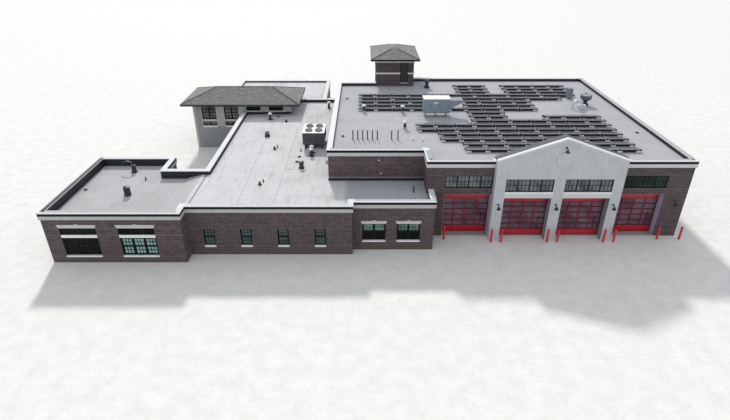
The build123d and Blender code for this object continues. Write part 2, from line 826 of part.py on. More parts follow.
tower_side_runs = [
    (WallFace("y", tower_back, 1), tower_left, tower_right, OUT, OUT),
    (WallFace("x", tower_left, -1), tower_front, tower_back, OUT, OUT),
    (WallFace("x", tower_right, 1), tower_front, tower_back, OUT, OUT),
]
eave_runs = tower_side_runs + [(tower_face, tower_left, tower_right, OUT, OUT)]
band_runs = tower_side_runs + [(tower_face, tower_left, u0, OUT, BUTT)]
band_runs.append((tower_face, u1, tower_right, BUTT, OUT))
tower_trim = trim(eave_runs, tower_eave - tower_trim_tall, tower_eave, tower_trim_out, 0)
tower_band_top = tower_band_low + tower_band_tall
tower_trim += trim(band_runs, tower_band_low, tower_band_top, tower_trim_out, 0)

# Solar rows: for each row from the back, the first and last panel of each stretch
solar_rows = [
    [(6, 7), (9, 12)],
    [(6, 7), (9, 12)],
    [(6, 7), (9, 12)],
    [(0, 12)],
    [(0, 11)],
    [(0, 3), (6, 9)],
    [(0, 3), (6, 9)],
    [(0, 3), (5, 9)],
    [(6, 7)],
    [(6, 7), (10, 12)],
    [(6, 12)],
    [(3, 12)],
    [(3, 12)],
    [(4, 12)],
    [(4, 12)],
    [(5, 12)],
    [(5, 12)],
]
solar_drop = (solar_high - solar_low) / solar_deep * rack_lip
racks, panels, ballast = [], [], []


def ballast_row(row, start, count, front):
    """Ballast blocks in front of the joints between panels, at each joint of the outer rows."""
    end = start + count * solar_pitch_x - solar_gap
    for k in range(count + 1):
        outer_row = row < 2 or row > len(solar_rows) - 4
        if k in (0, count) or outer_row or (k + row) % 2 == 0:
            joint = start + k * solar_pitch_x - solar_gap / 2
            middle = min(max(joint, start + ballast_wide / 2), end - ballast_wide / 2)
            u0, u1 = centred(middle, ballast_wide)
            ballast.append(block(u0, u1, front - ballast_deep, front, high_roof, high_roof + ballast_tall))


for row, stretches in enumerate(solar_rows):
    front = solar_back - row * solar_pitch_y
    back = front + solar_deep
    rack_profile = [
        (front, high_roof),
        (back, high_roof),
        (back, high_roof + solar_low),
        (back - rack_lip, high_roof + solar_low + solar_drop),
        (back - rack_lip, high_roof + rack_base),
        (front + rack_lip, high_roof + rack_base),
        (front + rack_lip, high_roof + solar_high - solar_drop),
        (front, high_roof + solar_high),
    ]
    panel_profile = [
        (front, high_roof + solar_high),
        (back, high_roof + solar_low),
        (back, high_roof + solar_low + solar_thick),
        (front, high_roof + solar_high + solar_thick),
    ]
    for first, last in stretches:
        start = solar_left + first * solar_pitch_x
        count = last - first + 1
        length = count * solar_pitch_x - solar_gap
        side = WallFace("x", start, -1)
        racks.append(side.prism(rack_profile, 0, length))
        panels.append(side.prism(panel_profile, 0, length))
        ballast_row(row, start, count, front)


def unit_stand(left, right, front, back, foot, head):
    """Two rails on three cross sleepers, with a post at each crossing."""
    stand = block(left, right, front, front + stand_rail, head - stand_rail, head)
    stand += block(left, right, back - stand_rail, back, head - stand_rail, head)
    for share in (0.1, 0.5, 0.9):
        u0, u1 = centred(left + (right - left) * share, stand_post)
        stand += block(u0, u1, front, back, foot, foot + stand_rail)
        stand += block(u0, u1, front, front + stand_rail, foot, head)
        stand += block(u0, u1, back - stand_rail, back, foot, head)
    return stand


# High unit, with a white lid and an intake hood on its right
high_unit_right = high_unit_left + high_unit_long
high_unit_back = high_unit_front + high_unit_deep
high_unit_foot = high_roof + high_stand_tall
high_unit_head = high_unit_foot + high_unit_tall
high_unit = block(
    high_unit_left, high_unit_right, high_unit_front, high_unit_back, high_unit_foot, high_unit_head
)
high_unit += block(
    high_unit_left - lid_out,
    high_unit_right + lid_out,
    high_unit_front - lid_out,
    high_unit_back + lid_out,
    high_unit_head,
    high_unit_head + lid_tall,
)
hood_right = high_unit_right + hood_out
hood_head = high_unit_head - hood_drop
hood_points = [
    (high_unit_right, hood_head),
    (hood_right, hood_head),
    (hood_right, hood_head - hood_lip),
    (high_unit_right, high_unit_foot + hood_foot),
]
hood_side = WallFace("y", high_unit_front + lid_out, -1)
high_unit += hood_side.prism(hood_points, 0, high_unit_deep - 2 * lid_out)
high_stand = unit_stand(
    high_unit_left, high_unit_right, high_unit_front, high_unit_back, high_roof, high_unit_foot
)


# Low unit, with a coil set in its front and four fan rings on its top
low_unit_right = low_unit_left + low_unit_long
low_unit_back = low_unit_front + low_unit_deep
low_unit_foot = low_roof + low_stand_tall
low_unit_head = low_unit_foot + low_unit_tall
low_unit = block(
    low_unit_left, low_unit_right, low_unit_front, low_unit_back, low_unit_foot, low_unit_head
)
low_unit -= block(
    low_unit_left + coil_margin,
    low_unit_right - coil_margin,
    low_unit_front,
    low_unit_front + coil_in,
    low_unit_foot + coil_margin,
    low_unit_head - coil_margin,
)
fan_ring = disc(cooling_fan_radius, cooling_fan_tall, 16) - disc(cooling_fan_hole, cooling_fan_tall, 16)
for i in (-0.5, 0.5):
    for j in (-0.5, 0.5):
        fan_x = (low_unit_left + low_unit_right) / 2 + i * cooling_fan_pitch_x
        fan_y = (low_unit_front + low_unit_back) / 2 + j * cooling_fan_pitch_y
        low_unit += Pos(fan_x, fan_y, low_unit_head) * fan_ring
low_stand = unit_stand(
    low_unit_left, low_unit_right, low_unit_front, low_unit_back, low_roof, low_unit_foot
)


def cap_vent(place, foot):
    """A stem under a wider cap."""
    stem = disc(cap_vent_stem, cap_vent_tall)
    cap = Pos(0, 0, cap_vent_tall) * disc(cap_vent_radius, cap_tall)
    return Pos(place[0], place[1], foot) * (stem + cap)


def exhaust_fan(place, bowl_radius):
    """A square curb, a neck and a bowl that widens upward to a flat top."""
    half = fan_curb / 2
    fan = block(-half, half, -half, half, 0, fan_curb_tall) + disc(fan_neck, fan_bowl_foot)
    bowl = flare(bowl_radius, fan_neck, fan_bowl_head - fan_bowl_foot)
    fan += Pos(0, 0, fan_bowl_head) * Rot(180, 0, 0) * bowl
    fan += Pos(0, 0, fan_bowl_head) * disc(bowl_radius, fan_tall - fan_bowl_head)
    return Pos(place[0], place[1], high_roof) * fan


def arch(left, right, y, foot, head, radius, count=8):
    """A pipe of straight lengths that arches from left to right in a plane of one y."""
    middle, half = (left + right) / 2, (right - left) / 2
    rise = head - foot
    outer, inner = [], []
    for i in range(count + 1):
        turn = math.pi * i / count
        level, upright = math.cos(turn), math.sin(turn)
        outer.append((middle - (half + radius) * level, foot + rise * upright))
        inner.append((middle - (half - radius) * level, foot + (rise - 2 * radius) * upright))
    return WallFace("y", y - radius, -1).prism(outer + inner[::-1], 0, 2 * radius)


vents = [cap_vent(place, low_roof) for place in low_cap_vents]
vents += [cap_vent(place, high_roof) for place in high_cap_vents]
vents += [cap_vent(place, west_roof) for place in west_cap_vents]
vents += [Pos(place[0], place[1], low_roof) * disc(boot_radius, boot_tall, 8) for place in low_boots]
u0, u1 = centred(box_vent[0], box_vent_wide)
v0, v1 = centred(box_vent[1], box_vent_wide)
vents.append(block(u0, u1, v0, v1, low_roof, low_roof + box_vent_tall))
pipe_places = [pipe_row_left + i * pipe_pitch for i in range(pipe_count)]
pipe_places += [pipe_pair_left, pipe_pair_left + pipe_pair_pitch]
vents += [Pos(x, pipe_row_y, high_roof) * disc(pipe_radius, pipe_tall, 8) for x in pipe_places]
vents += [exhaust_fan(place, bowl) for place, bowl in zip(fan_places, fan_bowls)]

# Gooseneck: a thick stem with a thin pipe that arches to the left
neck_x, neck_y = gooseneck_place
neck_top = west_roof + gooseneck_tall
neck_head = neck_top + gooseneck_rise
neck_pipe = arch(neck_x - gooseneck_reach, neck_x, neck_y, neck_top, neck_head, gooseneck_pipe)
vents.append(Pos(neck_x, neck_y, west_roof) * disc(gooseneck_radius, gooseneck_tall) + neck_pipe)

# Small units at the right: one on a stand, and a box fed by an arched duct
small_unit_foot = high_roof + small_stand_tall
small_unit_right = small_unit_left + small_unit_wide
small_unit_back = small_unit_front + small_unit_deep
small_unit = block(
    small_unit_left,
    small_unit_right,
    small_unit_front,
    small_unit_back,
    small_unit_foot,
    small_unit_foot + small_unit_tall,
)
small_stand = unit_stand(
    small_unit_left, small_unit_right, small_unit_front, small_unit_back, high_roof, small_unit_foot
)
duct_box_right = duct_box_left + duct_box_long
duct_box_back = duct_box_front + duct_box_deep
duct_box_head = high_roof + duct_box_tall
duct_box = block(duct_box_left, duct_box_right, duct_box_front, duct_box_back, high_roof, duct_box_head)
duct_y = (duct_box_front + duct_box_back) / 2
duct_end = duct_box_left + duct_box_long / 2
duct_head = duct_box_head + duct_rise
duct_box += arch(duct_end - duct_reach, duct_end, duct_y, duct_box_head, duct_head, duct_radius)
duct_foot_left, duct_foot_right = centred(duct_end - duct_reach, 2 * duct_radius)
duct_front, duct_back = centred(duct_y, 2 * duct_radius)
duct_box += block(duct_foot_left, duct_foot_right, duct_front, duct_back, high_roof, duct_box_head)


def wall_lamp(plane, middle, foot):
    """A lamp on a front face: a round plate, a level arm and a shade that widens downward."""
    neck_foot = foot + lamp_shade_tall
    arm_z = neck_foot + lamp_neck_tall
    arm_left, arm_right = centred(middle, lamp_arm)
    shade_y = plane - lamp_reach
    lamp = Pos(middle, plane, arm_z) * Rot(90, 0, 0) * disc(lamp_plate_radius, lamp_plate_thick)
    lamp += block(arm_left, arm_right, shade_y, plane, arm_z - lamp_arm / 2, arm_z + lamp_arm / 2)
    lamp += Pos(middle, shade_y, neck_foot) * disc(lamp_neck_radius, lamp_neck_tall + lamp_arm / 2)
    shade = flare(lamp_shade_radius, lamp_neck_radius, lamp_shade_tall)
    return lamp + Pos(middle, shade_y, foot) * shade


# Lamps on the three portal piers, beside the last bay and over the disc
bay_edges = [centred(centre, bay_width) for centre in bay_centres]
left_pier = (portal_left + bay_edges[1][0]) / 2
right_pier = (portal_right + bay_edges[2][1]) / 2
lamps = [wall_lamp(portal_face.plane, x, lamp_height) for x in (left_pier, bay_centre, right_pier)]
lamps.append(wall_lamp(door_front, brick_lamp_x, lamp_height))
gable_lamp_foot = medallion_height + medallion_radius + gable_lamp_gap
lamps.append(wall_lamp(portal_face.plane, bay_centre, gable_lamp_foot))

# Guard posts beside the bay openings
portal_posts_y = portal_face.plane - portal_post_out
brick_posts_y = door_front - brick_post_out
bollards = []
for edge in (bay_edges[0][0], bay_edges[3][1], high_right):
    post = disc(bollard_radius, bollard_tall, bollard_sides)
    bollards.append(Pos(edge + post_margin, brick_posts_y, 0) * post)
for edge in (portal_left, *bay_edges[1], *bay_edges[2], portal_right):
    post = disc(bollard_radius, bollard_tall, bollard_sides)
    bollards.append(Pos(edge + post_margin, portal_posts_y, 0) * post)

# The origin is the middle of the plan, on the ground
post_reach = post_margin + bollard_radius
origin_x = (west_left - coping_out + high_right + post_reach) / 2
origin_y = (west_front + wing_back) / 2


def save(name, *solids):
    """Write one node, moved to the origin."""
    children = []
    for solid in solids:
        children.extend(solid.solids())
    moved = Pos(-origin_x, -origin_y, 0) * Compound(children=children)
    export_step(moved, "parts/" + name + ".step")


save("low_front_walls", *low_front_walls)
save("low_rear_walls", *low_rear_walls)
save("low_side_walls", *low_side_walls)
save("high_front_walls", front_wall, setback_wall)
save("high_side_walls", *high_side_walls)
save("high_rear_walls", *high_rear_walls)
save("ground_floor", low_floor, high_floor, *other_floors)
save("low_roof_deck", low_deck, wing_deck)
save("west_roof_deck", west_deck)
save("high_roof_deck", high_deck)
save("low_copings", *low_copings)
save("low_cornice", *low_bands)
save("high_copings", *high_copings)
save("fascia_lines", *low_lines, *high_lines)
save("high_cornice", *high_bands)
save("portal", portal)
save("portal_coping", portal_coping)
save("medallion", medallion)
for number, (leaf, glass) in enumerate(leaves, start=1):
    save("bay_door_" + str(number), leaf)
save("bay_door_glass", *[glass for leaf, glass in leaves])
save("transom_frames", *transom_frames)
save("transom_glass", *transom_panes)
save("window_frames", *window_frames, *hall_frames)
save("window_glass", *window_panes, *hall_panes)
save("stone_trim", *stones)
save("hall_walls", hall_walls)
save("hall_roof", hall_roof)
save("tower_walls", tower_walls)
save("tower_trim", *tower_trim)
save("tower_door", tower_door)
save("tower_roof", tower_roof)
save("solar_racks", *racks)
save("solar_panels", *panels)
save("ballast_blocks", *ballast)
save("roof_unit_high", high_unit)
save("roof_unit_low", low_unit)
save("unit_stands", high_stand, low_stand, small_stand)
save("roof_vents", *vents)
save("condensers", small_unit, duct_box)
save("wall_lamps", *lamps)
save("bollards", *bollards)
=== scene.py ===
import math
from functools import cached_property

import bmesh
import bpy
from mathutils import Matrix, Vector


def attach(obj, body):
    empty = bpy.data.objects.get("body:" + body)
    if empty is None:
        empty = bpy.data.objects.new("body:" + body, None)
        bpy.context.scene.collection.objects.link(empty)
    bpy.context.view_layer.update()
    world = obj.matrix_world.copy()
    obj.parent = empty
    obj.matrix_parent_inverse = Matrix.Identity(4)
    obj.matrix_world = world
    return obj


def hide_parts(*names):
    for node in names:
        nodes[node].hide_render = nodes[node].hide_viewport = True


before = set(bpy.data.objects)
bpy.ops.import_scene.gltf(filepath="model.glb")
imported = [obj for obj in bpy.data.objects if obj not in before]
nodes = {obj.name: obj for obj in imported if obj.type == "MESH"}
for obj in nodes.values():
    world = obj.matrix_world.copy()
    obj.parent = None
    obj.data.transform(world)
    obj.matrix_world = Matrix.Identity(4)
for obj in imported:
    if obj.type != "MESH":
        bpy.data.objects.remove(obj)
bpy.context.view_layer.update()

# Places are written in metres of the real building; the model is at half size
HALF = 0.5
SHIFT = Vector((-0.57, -8.315, 0.0))

# Wall faces: x of left and right ones, y of front and back ones
WEST_LEFT, WEST_FRONT, WEST_BACK = -27.12, -4.47, 7.4
COURT_LEFT, COURT_FRONT = -19.5, 4.35
OFFICE_LEFT, OFFICE_FRONT = -15.47, -3.2
ENTRY_LEFT, ENTRY_RIGHT, ENTRY_FRONT = -1.1, 6.1, -2.4
HIGH_LEFT, HIGH_STEP, HIGH_RIGHT = -3.45, 5.54, 29.24
DOOR_FRONT, SETBACK_FRONT, HIGH_BACK_LEFT, HIGH_BACK = 0.0, 2.63, 26.12, 28.34
HALL_LEFT, HALL_RIGHT, HALL_FRONT, HALL_BACK = -21.97, -9.4, 22.52, 28.0
WING_LEFT, WING_RIGHT, WING_BACK = -18.66, -5.4, 37.73
TOWER_LEFT, TOWER_RIGHT, TOWER_FRONT, TOWER_BACK = 1.44, 6.3, 25.6, 32.7
GABLE_FRONT, PORTAL_MIDDLE, PORTAL_HALF = -0.78, 17.18, 5.68
PORTAL_LEFT, PORTAL_RIGHT = PORTAL_MIDDLE - PORTAL_HALF, PORTAL_MIDDLE + PORTAL_HALF

# Levels
WEST_DECK, LOW_DECK, WING_DECK, HIGH_DECK = 4.1, 4.5, 4.65, 7.3
LOW_TOP, HIGH_TOP, COPING_TALL = 4.92, 7.69, 0.07
HALL_EAVE, TOWER_EAVE = 5.85, 10.62
BAY_HEAD, TRANSOM_FOOT, TRANSOM_HEAD = 4.38, 4.99, 6.24

BAY_HALF, BAY_PITCH = 2.135, 5.23
BAYS = [PORTAL_MIDDLE + (i - 1.5) * BAY_PITCH for i in range(4)]
SOLAR_LEFT, SOLAR_BACK, SOLAR_PITCH, SOLAR_PITCH_Y = -0.74, 24.7, 2.03, 1.367


def at(x, y, z):
    """A point of the real building in the frame of the model."""
    return Vector((x, y, z)) * HALF + SHIFT


# Materials

def tone(red, green, blue):
    """A screen colour, 0 to 255, as the linear colour that shows as it."""
    out = []
    for part in (red, green, blue):
        part /= 255
        out.append(part / 12.92 if part <= 0.04045 else ((part + 0.055) / 1.055) ** 2.4)
    return tuple(out)


class Number:
    """A number that a node gives, with the usual operators."""

    def __init__(self, look, socket):
        self.look, self.socket = look, socket

    def __add__(self, other):
        return self.look.math("ADD", self, other)

    def __sub__(self, other):
        return self.look.math("SUBTRACT", self, other)

    def __mul__(self, other):
        return self.look.math("MULTIPLY", self, other)

    def __gt__(self, other):
        return self.look.math("GREATER_THAN", self, other)

    def __lt__(self, other):
        return self.look.math("LESS_THAN", self, other)


class Look:
    """A node material on one Principled shader."""

    def __init__(self, name, rough=0.6, metal=0.0, **sockets):
        self.mat = bpy.data.materials.new(name)
        self.mat.use_nodes = True
        self.tree = self.mat.node_tree
        self.shader = self.tree.nodes["Principled BSDF"]
        for key, value in {"Roughness": rough, "Metallic": metal, **sockets}.items():
            self.shader.inputs[key.replace("_", " ")].default_value = value

    def link(self, source, target):
        """Give a socket a number, a screen colour or what a node gives."""
        if isinstance(source, Number):
            source = source.socket
        if isinstance(source, bpy.types.NodeSocket):
            self.tree.links.new(source, target)
        else:
            target.default_value = (*tone(*source), 1.0) if isinstance(source, tuple) else source

    def new(self, kind, inputs=None, **settings):
        node = self.tree.nodes.new("ShaderNode" + kind)
        for key, value in settings.items():
            setattr(node, key, value)
        for key, value in (inputs or {}).items():
            self.link(value, node.inputs[key])
        return node

    def math(self, operation, *values):
        node = self.new("Math", dict(enumerate(values)), operation=operation)
        return Number(self, node.outputs[0])

    def most(self, a, b):
        return self.math("MAXIMUM", a, b)

    def split(self, vector):
        return tuple(Number(self, part) for part in self.new("SeparateXYZ", {0: vector}).outputs)

    @cached_property
    def place(self):
        """Object coordinates turned back into metres of the real building."""
        inner = self.new("TexCoord").outputs["Object"]
        moved = self.new("VectorMath", {0: inner}, operation="SUBTRACT")
        moved.inputs[1].default_value = SHIFT
        inputs = {0: moved.outputs[0], "Scale": 1 / HALF}
        return self.new("VectorMath", inputs, operation="SCALE").outputs[0]

    @cached_property
    def axes(self):
        return self.split(self.place)

    @cached_property
    def normal(self):
        """How far the surface faces along each axis."""
        parts = self.split(self.new("NewGeometry").outputs["Normal"])
        return tuple(self.math("ABSOLUTE", part) for part in parts)

    @cached_property
    def wall(self):
        """Distance along a wall and height; on a level face the plan."""
        x, y, z = self.axes
        return self.blend(self.normal[0] > 0.5, x, y), self.blend(self.normal[2] > 0.7, z, y)

    def blend(self, factor, a, b):
        """Number a where factor is 0 and b where it is 1."""
        return Number(self, self.new("Mix", {0: factor, 2: a, 3: b}, data_type="FLOAT").outputs[0])

    def mix(self, factor, a, b, mode="MIX"):
        """Colour a where factor is 0 and b where it is 1."""
        return self.new("Mix", {0: factor, 6: a, 7: b}, data_type="RGBA", blend_type=mode).outputs[2]

    def vector(self, x, y, z=0.0):
        return self.new("CombineXYZ", {0: x, 1: y, 2: z}).outputs[0]

    def noise(self, scale, detail=3.0, vector=None, rough=0.55):
        inputs = {"Vector": vector or self.place, "Scale": scale, "Detail": detail, "Roughness": rough}
        return Number(self, self.new("TexNoise", inputs).outputs["Fac"])

    def chance(self, vector):
        """One random number for each place given."""
        node = self.new("TexWhiteNoise", {"Vector": vector}, noise_dimensions="3D")
        return Number(self, node.outputs["Value"])

    def span(self, value, low, high, to_low=0.0, to_high=1.0):
        """A smooth step from one number to another between two values."""
        inputs = {"Value": value, "From Min": low, "From Max": high, "To Min": to_low, "To Max": to_high}
        return Number(self, self.new("MapRange", inputs, interpolation_type="SMOOTHSTEP").outputs[0])

    def band(self, value, low, high, soft=0.01):
        """1 between two values."""
        rise = self.span(value, low - soft, low + soft)
        return rise * self.span(value, high - soft, high + soft, 1.0, 0.0)

    def line(self, value, pitch, half):
        """1 on lines that repeat at a pitch, half wide on each side."""
        part = self.math("PINGPONG", value, pitch / 2)
        return self.span(part, half * 0.7, half * 1.3, 1.0, 0.0)

    def cell(self, value, pitch):
        return self.math("FLOOR", self.math("DIVIDE", value, pitch))

    def shade(self, colour, factor, low, high):
        """A colour made darker or lighter by a number."""
        amount = self.span(factor, 0.0, 1.0, low, high)
        grey = self.new("CombineColor", {0: amount, 1: amount, 2: amount})
        return self.mix(1.0, colour, grey.outputs[0], "MULTIPLY")

    def stain(self, base, marks, low, high, strength, colour):
        """Another colour where a number passes from low to high."""
        return self.mix(self.span(marks, low, high, 0.0, strength), base, colour)

    def bump(self, height, strength=0.3, distance=0.01):
        node = self.new("Bump", {"Height": height, "Strength": strength, "Distance": distance})
        self.link(node.outputs[0], self.shader.inputs["Normal"])

    def finish(self, colour, rough=None):
        self.link(colour, self.shader.inputs["Base Color"])
        if rough is not None:
            self.link(rough, self.shader.inputs["Roughness"])
        return self.mat

    def grained(self, colour, rough, grain=14.0, depth=0.12):
        """Finish with a fine grain in the surface and in its gloss."""
        fine = self.noise(grain)
        self.bump(fine, depth, 0.004)
        return self.finish(colour, self.span(fine, 0.3, 0.7, rough - 0.07, rough + 0.07))


def painted(name, colour, rough=0.45, metal=0.0, dirt=0.12, grain=14.0, **sockets):
    """Paint or plain metal with a faint drift of tone and streaks down walls."""
    look = Look(name, rough, metal, **sockets)
    x, y, z = look.axes
    base = look.shade(colour, look.noise(1.3, 4.0), 1.0 - dirt, 1.0 + dirt)
    streak = look.noise(1.0, 3.0, look.vector(x * 9.0, y * 9.0, z * 0.8))
    return look.grained(look.stain(base, streak, 0.5, 0.78, dirt, (92, 88, 82)), rough, grain)


def two_tone(name, upright, other, axis, edge, rough=0.4, dirt=0.06, **sockets):
    """Paint in one colour, in another past an edge along an axis; axis 3 means on level faces."""
    look = Look(name, rough, **sockets)
    place = (*look.axes, look.normal[2])[axis]
    colour = look.mix(look.span(place, edge - 0.01, edge + 0.01), upright, other)
    return look.grained(look.shade(colour, look.noise(1.3, 4.0), 1.0 - dirt, 1.0 + dirt), rough)


def enamel(name, dim, bright):
    """Door paint: dimmer on the thin bars between the lights, brighter on the solid panels."""
    look = Look(name, 0.3, Coat_Weight=0.3, Coat_Roughness=0.12)
    base = look.mix(look.band(look.axes[2], 0.71, 3.68), bright, dim)
    return look.grained(look.shade(base, look.noise(1.6, 4.0), 0.92, 1.08), 0.31, depth=0.1)


BRICK, STONE_LONG, SHINGLE = 0.203, 1.2, 0.03432


def masonry(name, accents, below, light=1.0, far=1.0):
    """Square-scored masonry units with pale joints and thin pale courses, greyer under the sills, and
    painted light on walls set back from the front.
    """
    look = Look(name, 0.82)
    u, v = look.wall
    x, y, z = look.axes
    row = look.cell(v, BRICK)
    shifted = u + look.math("MODULO", row, 2.0) * BRICK
    unit = look.vector(look.cell(shifted, 2 * BRICK), row, look.normal[0])
    half_unit = look.vector(look.cell(u, BRICK), row, 3.0)
    colour = look.mix(look.chance(unit), (62, 52, 56), (94, 76, 78))
    colour = look.stain(colour, look.chance(half_unit), 0.0, 1.0, 0.4, (74, 70, 78))
    colour = look.mix(look.span(v, below - 0.15, below, 1.0, 0.0) * 0.45, colour, (92, 82, 72))
    for level, west_end in accents:
        inside = x < -15.4 if west_end else x > -15.5
        pale = look.band(z, level, level + 0.045, 0.008) * inside
        colour = look.mix(pale * 0.6, colour, (138, 128, 126))
    grain = look.noise(26.0, 5.0)
    colour = look.shade(colour, grain, 0.76 * light, 1.24 * light)
    # Painted light: walls behind y = 1.5, set back from the front, are scaled lighter or darker by far
    if far != 1.0:
        colour = look.mix(y > 1.5, colour, look.shade(colour, grain, far, far))
    joint = look.most(look.line(u, BRICK, 0.0095), look.line(v, BRICK, 0.0095))
    colour = look.mix(joint * 0.9, colour, (134, 124, 126))
    colour = look.mix(look.span(look.noise(0.35, 4.0), 0.45, 0.75) * 0.12, colour, (104, 96, 96))
    look.bump(grain * 0.35 - joint, 0.7, 0.006)
    return look.finish(colour, look.span(grain, 0.2, 0.8, 0.72, 0.92))


def cut_stone(name, colour, lintel=None):
    """Smooth cast stone with fine pits, joints and weather; lintels may have their own tone."""
    look = Look(name, 0.7)
    u, v = look.wall
    if lintel:
        over_entry = look.band(v, 2.66, 3.3) * (look.axes[0] > -3.0)
        colour = look.mix(look.most(look.band(v, 3.4, 3.9), over_entry), colour, lintel)
    base = look.shade(colour, look.noise(2.2, 5.0), 0.93, 1.06)
    base = look.stain(base, look.noise(7.0, 5.0), 0.52, 0.8, 0.25, (170, 165, 158))
    joint = look.line(u, STONE_LONG, 0.006)
    base = look.mix(joint * 0.5, base, (128, 120, 108))
    look.bump(look.noise(60.0, 4.0) * 0.4 - joint, 0.35, 0.004)
    return look.finish(base)


def plaster(name, colour):
    """Floated stucco: fine sand grain, trowel clouds and streaks of weather."""
    look = Look(name, 0.85)
    x, y, z = look.axes
    sand = look.noise(120.0)
    base = look.shade(colour, look.noise(0.9, 5.0), 0.9, 1.1)
    base = look.shade(base, sand, 0.95, 1.05)
    streak = look.noise(1.0, 4.0, look.vector(x * 5.0, y * 5.0, z * 0.5))
    base = look.stain(base, streak, 0.52, 0.8, 0.24, (132, 133, 132))
    look.bump(sand + look.noise(9.0) * 0.6, 0.25, 0.004)
    return look.finish(base)


SHEET_WIDE, SHEET_LONG = 3.05, 15.2


def roof_sheet(name, colour):
    """White roofing sheet: lapped seams each few metres, scuffs, dust and dried puddles."""
    look = Look(name, 0.85, Specular_IOR_Level=0.15)
    x, y, _ = look.axes
    # Painted shade: the corner in front of the setback wall is darker and bluer, where that wall's shadow
    # falls
    corner = look.band(x, -1.75, 6.3, 0.3) * look.band(y, -2.3, 2.9, 0.3)
    colour = look.mix(corner * 0.85, colour, (168, 171, 181))
    base = look.shade(colour, look.noise(0.6, 5.0), 0.94, 1.05)
    puddle = look.noise(0.28, 6.0, rough=0.6)
    base = look.stain(base, puddle, 0.48, 0.72, 0.42, (168, 167, 167))
    scuffs = look.noise(1.0, 5.0, look.vector(x * 2.6, y * 0.45, 4.0))
    base = look.stain(base, scuffs, 0.5, 0.74, 0.45, (158, 158, 161))
    base = look.stain(base, look.noise(6.0, 4.0), 0.6, 0.8, 0.3, (150, 150, 150))
    cross = look.line(y + look.cell(x, SHEET_WIDE) * 7.3, SHEET_LONG, 0.02)
    lap = look.most(look.line(x, SHEET_WIDE, 0.02), cross)
    base = look.mix(lap * 0.35, base, (140, 140, 142))
    look.bump(look.noise(1.4, 4.0) + lap * 0.6, 0.25, 0.012)
    return look.finish(base, look.span(puddle, 0.4, 0.7, 0.78, 0.9))


def shingles(name):
    """Laminated shingles: each tab has its own tone, with granules."""
    look = Look(name, 0.9)
    x, y, z = look.axes
    nx, ny, _ = look.normal
    row = look.cell(z, SHINGLE)
    shifted = look.blend(nx > ny, x, y) + look.chance(look.vector(row, 1.0)) * 0.9
    tab = look.vector(look.cell(shifted, 0.33), row, nx)
    wide = look.vector(look.cell(shifted, 0.95), look.cell(row, 1.0), 7.0)
    colour = look.mix(look.chance(tab), (98, 99, 102), (143, 143, 145))
    colour = look.mix(look.chance(wide) * 0.45, colour, (122, 118, 112))
    granule = look.noise(90.0, 4.0)
    colour = look.shade(colour, granule, 0.8, 1.2)
    colour = look.shade(colour, look.noise(0.5, 4.0), 0.9, 1.08)
    # Painted light: the slopes that face left and right are made a tenth lighter
    colour = look.mix(look.span(nx, 0.1, 0.2), colour, look.shade(colour, granule, 1.1, 1.1))
    look.bump(granule, 0.5, 0.004)
    return look.finish(colour)


def glass(name, dark, light, lean=0.0, shine=0.5):
    """Window glass: a painted reflection of a soft sky, between a dark and a light tone, that differs
    from pane to pane, under a little dust.
    """
    look = Look(name, 0.06, IOR=1.45, Coat_Weight=shine, Coat_Roughness=0.03, Specular_IOR_Level=shine)
    u, v = look.wall
    # Painted reflection: a stretched noise mixes the dark and light tones as clouds of sky
    cloud = look.noise(0.55, 3.0, look.vector(u * 0.8, v + u * lean, look.normal[0]))
    dust = look.noise(8.0, 4.0)
    colour = look.shade(look.mix(look.span(cloud, 0.35, 0.65), dark, light), dust, 0.85, 1.12)
    return look.finish(colour, look.span(dust, 0.4, 0.8, 0.04, 0.14))


def solar(name):
    """Panel tops: dark cells with fine silver lines between them, under dust."""
    look = Look(
        name, 0.14, IOR=1.6, Coat_Weight=1.0, Coat_Roughness=0.06, Coat_IOR=1.65, Specular_IOR_Level=0.8)
    x, y, _ = look.axes
    along = x - SOLAR_LEFT
    cell_x, cell_y = SOLAR_PITCH / 12, SOLAR_PITCH_Y / 8.2
    tint = look.chance(look.vector(look.cell(along, cell_x), look.cell(y, cell_y)))
    colour = look.mix(tint, (88, 92, 104), (108, 112, 124))
    cell_line = look.most(look.line(along, cell_x, 0.004), look.line(y, cell_y, 0.004))
    colour = look.mix(cell_line * 0.8, colour, (168, 170, 174))
    dust = look.noise(1.6, 5.0)
    colour = look.mix(look.span(dust, 0.3, 0.75, 0.15, 0.45), colour, (176, 175, 176))
    return look.finish(colour, look.span(dust, 0.3, 0.8, 0.1, 0.3))


def rimmed(name, middle, rim, x0, z0, radius):
    """A painted disc with a rim in a second tone and a fine ring."""
    look = Look(name, 0.45)
    x, _, z = look.axes
    across, up = look.math("POWER", x - x0, 2.0), look.math("POWER", z - z0, 2.0)
    far = look.math("SQRT", across + up)
    base = look.mix(look.span(far, radius - 0.01, radius + 0.01), middle, rim)
    base = look.shade(base, look.noise(3.0, 4.0), 0.93, 1.07)
    base = look.mix(look.band(far, radius * 0.55, radius * 0.58, 0.006) * 0.2, base, (150, 154, 158))
    look.bump(look.noise(24.0), 0.12, 0.003)
    return look.finish(base)


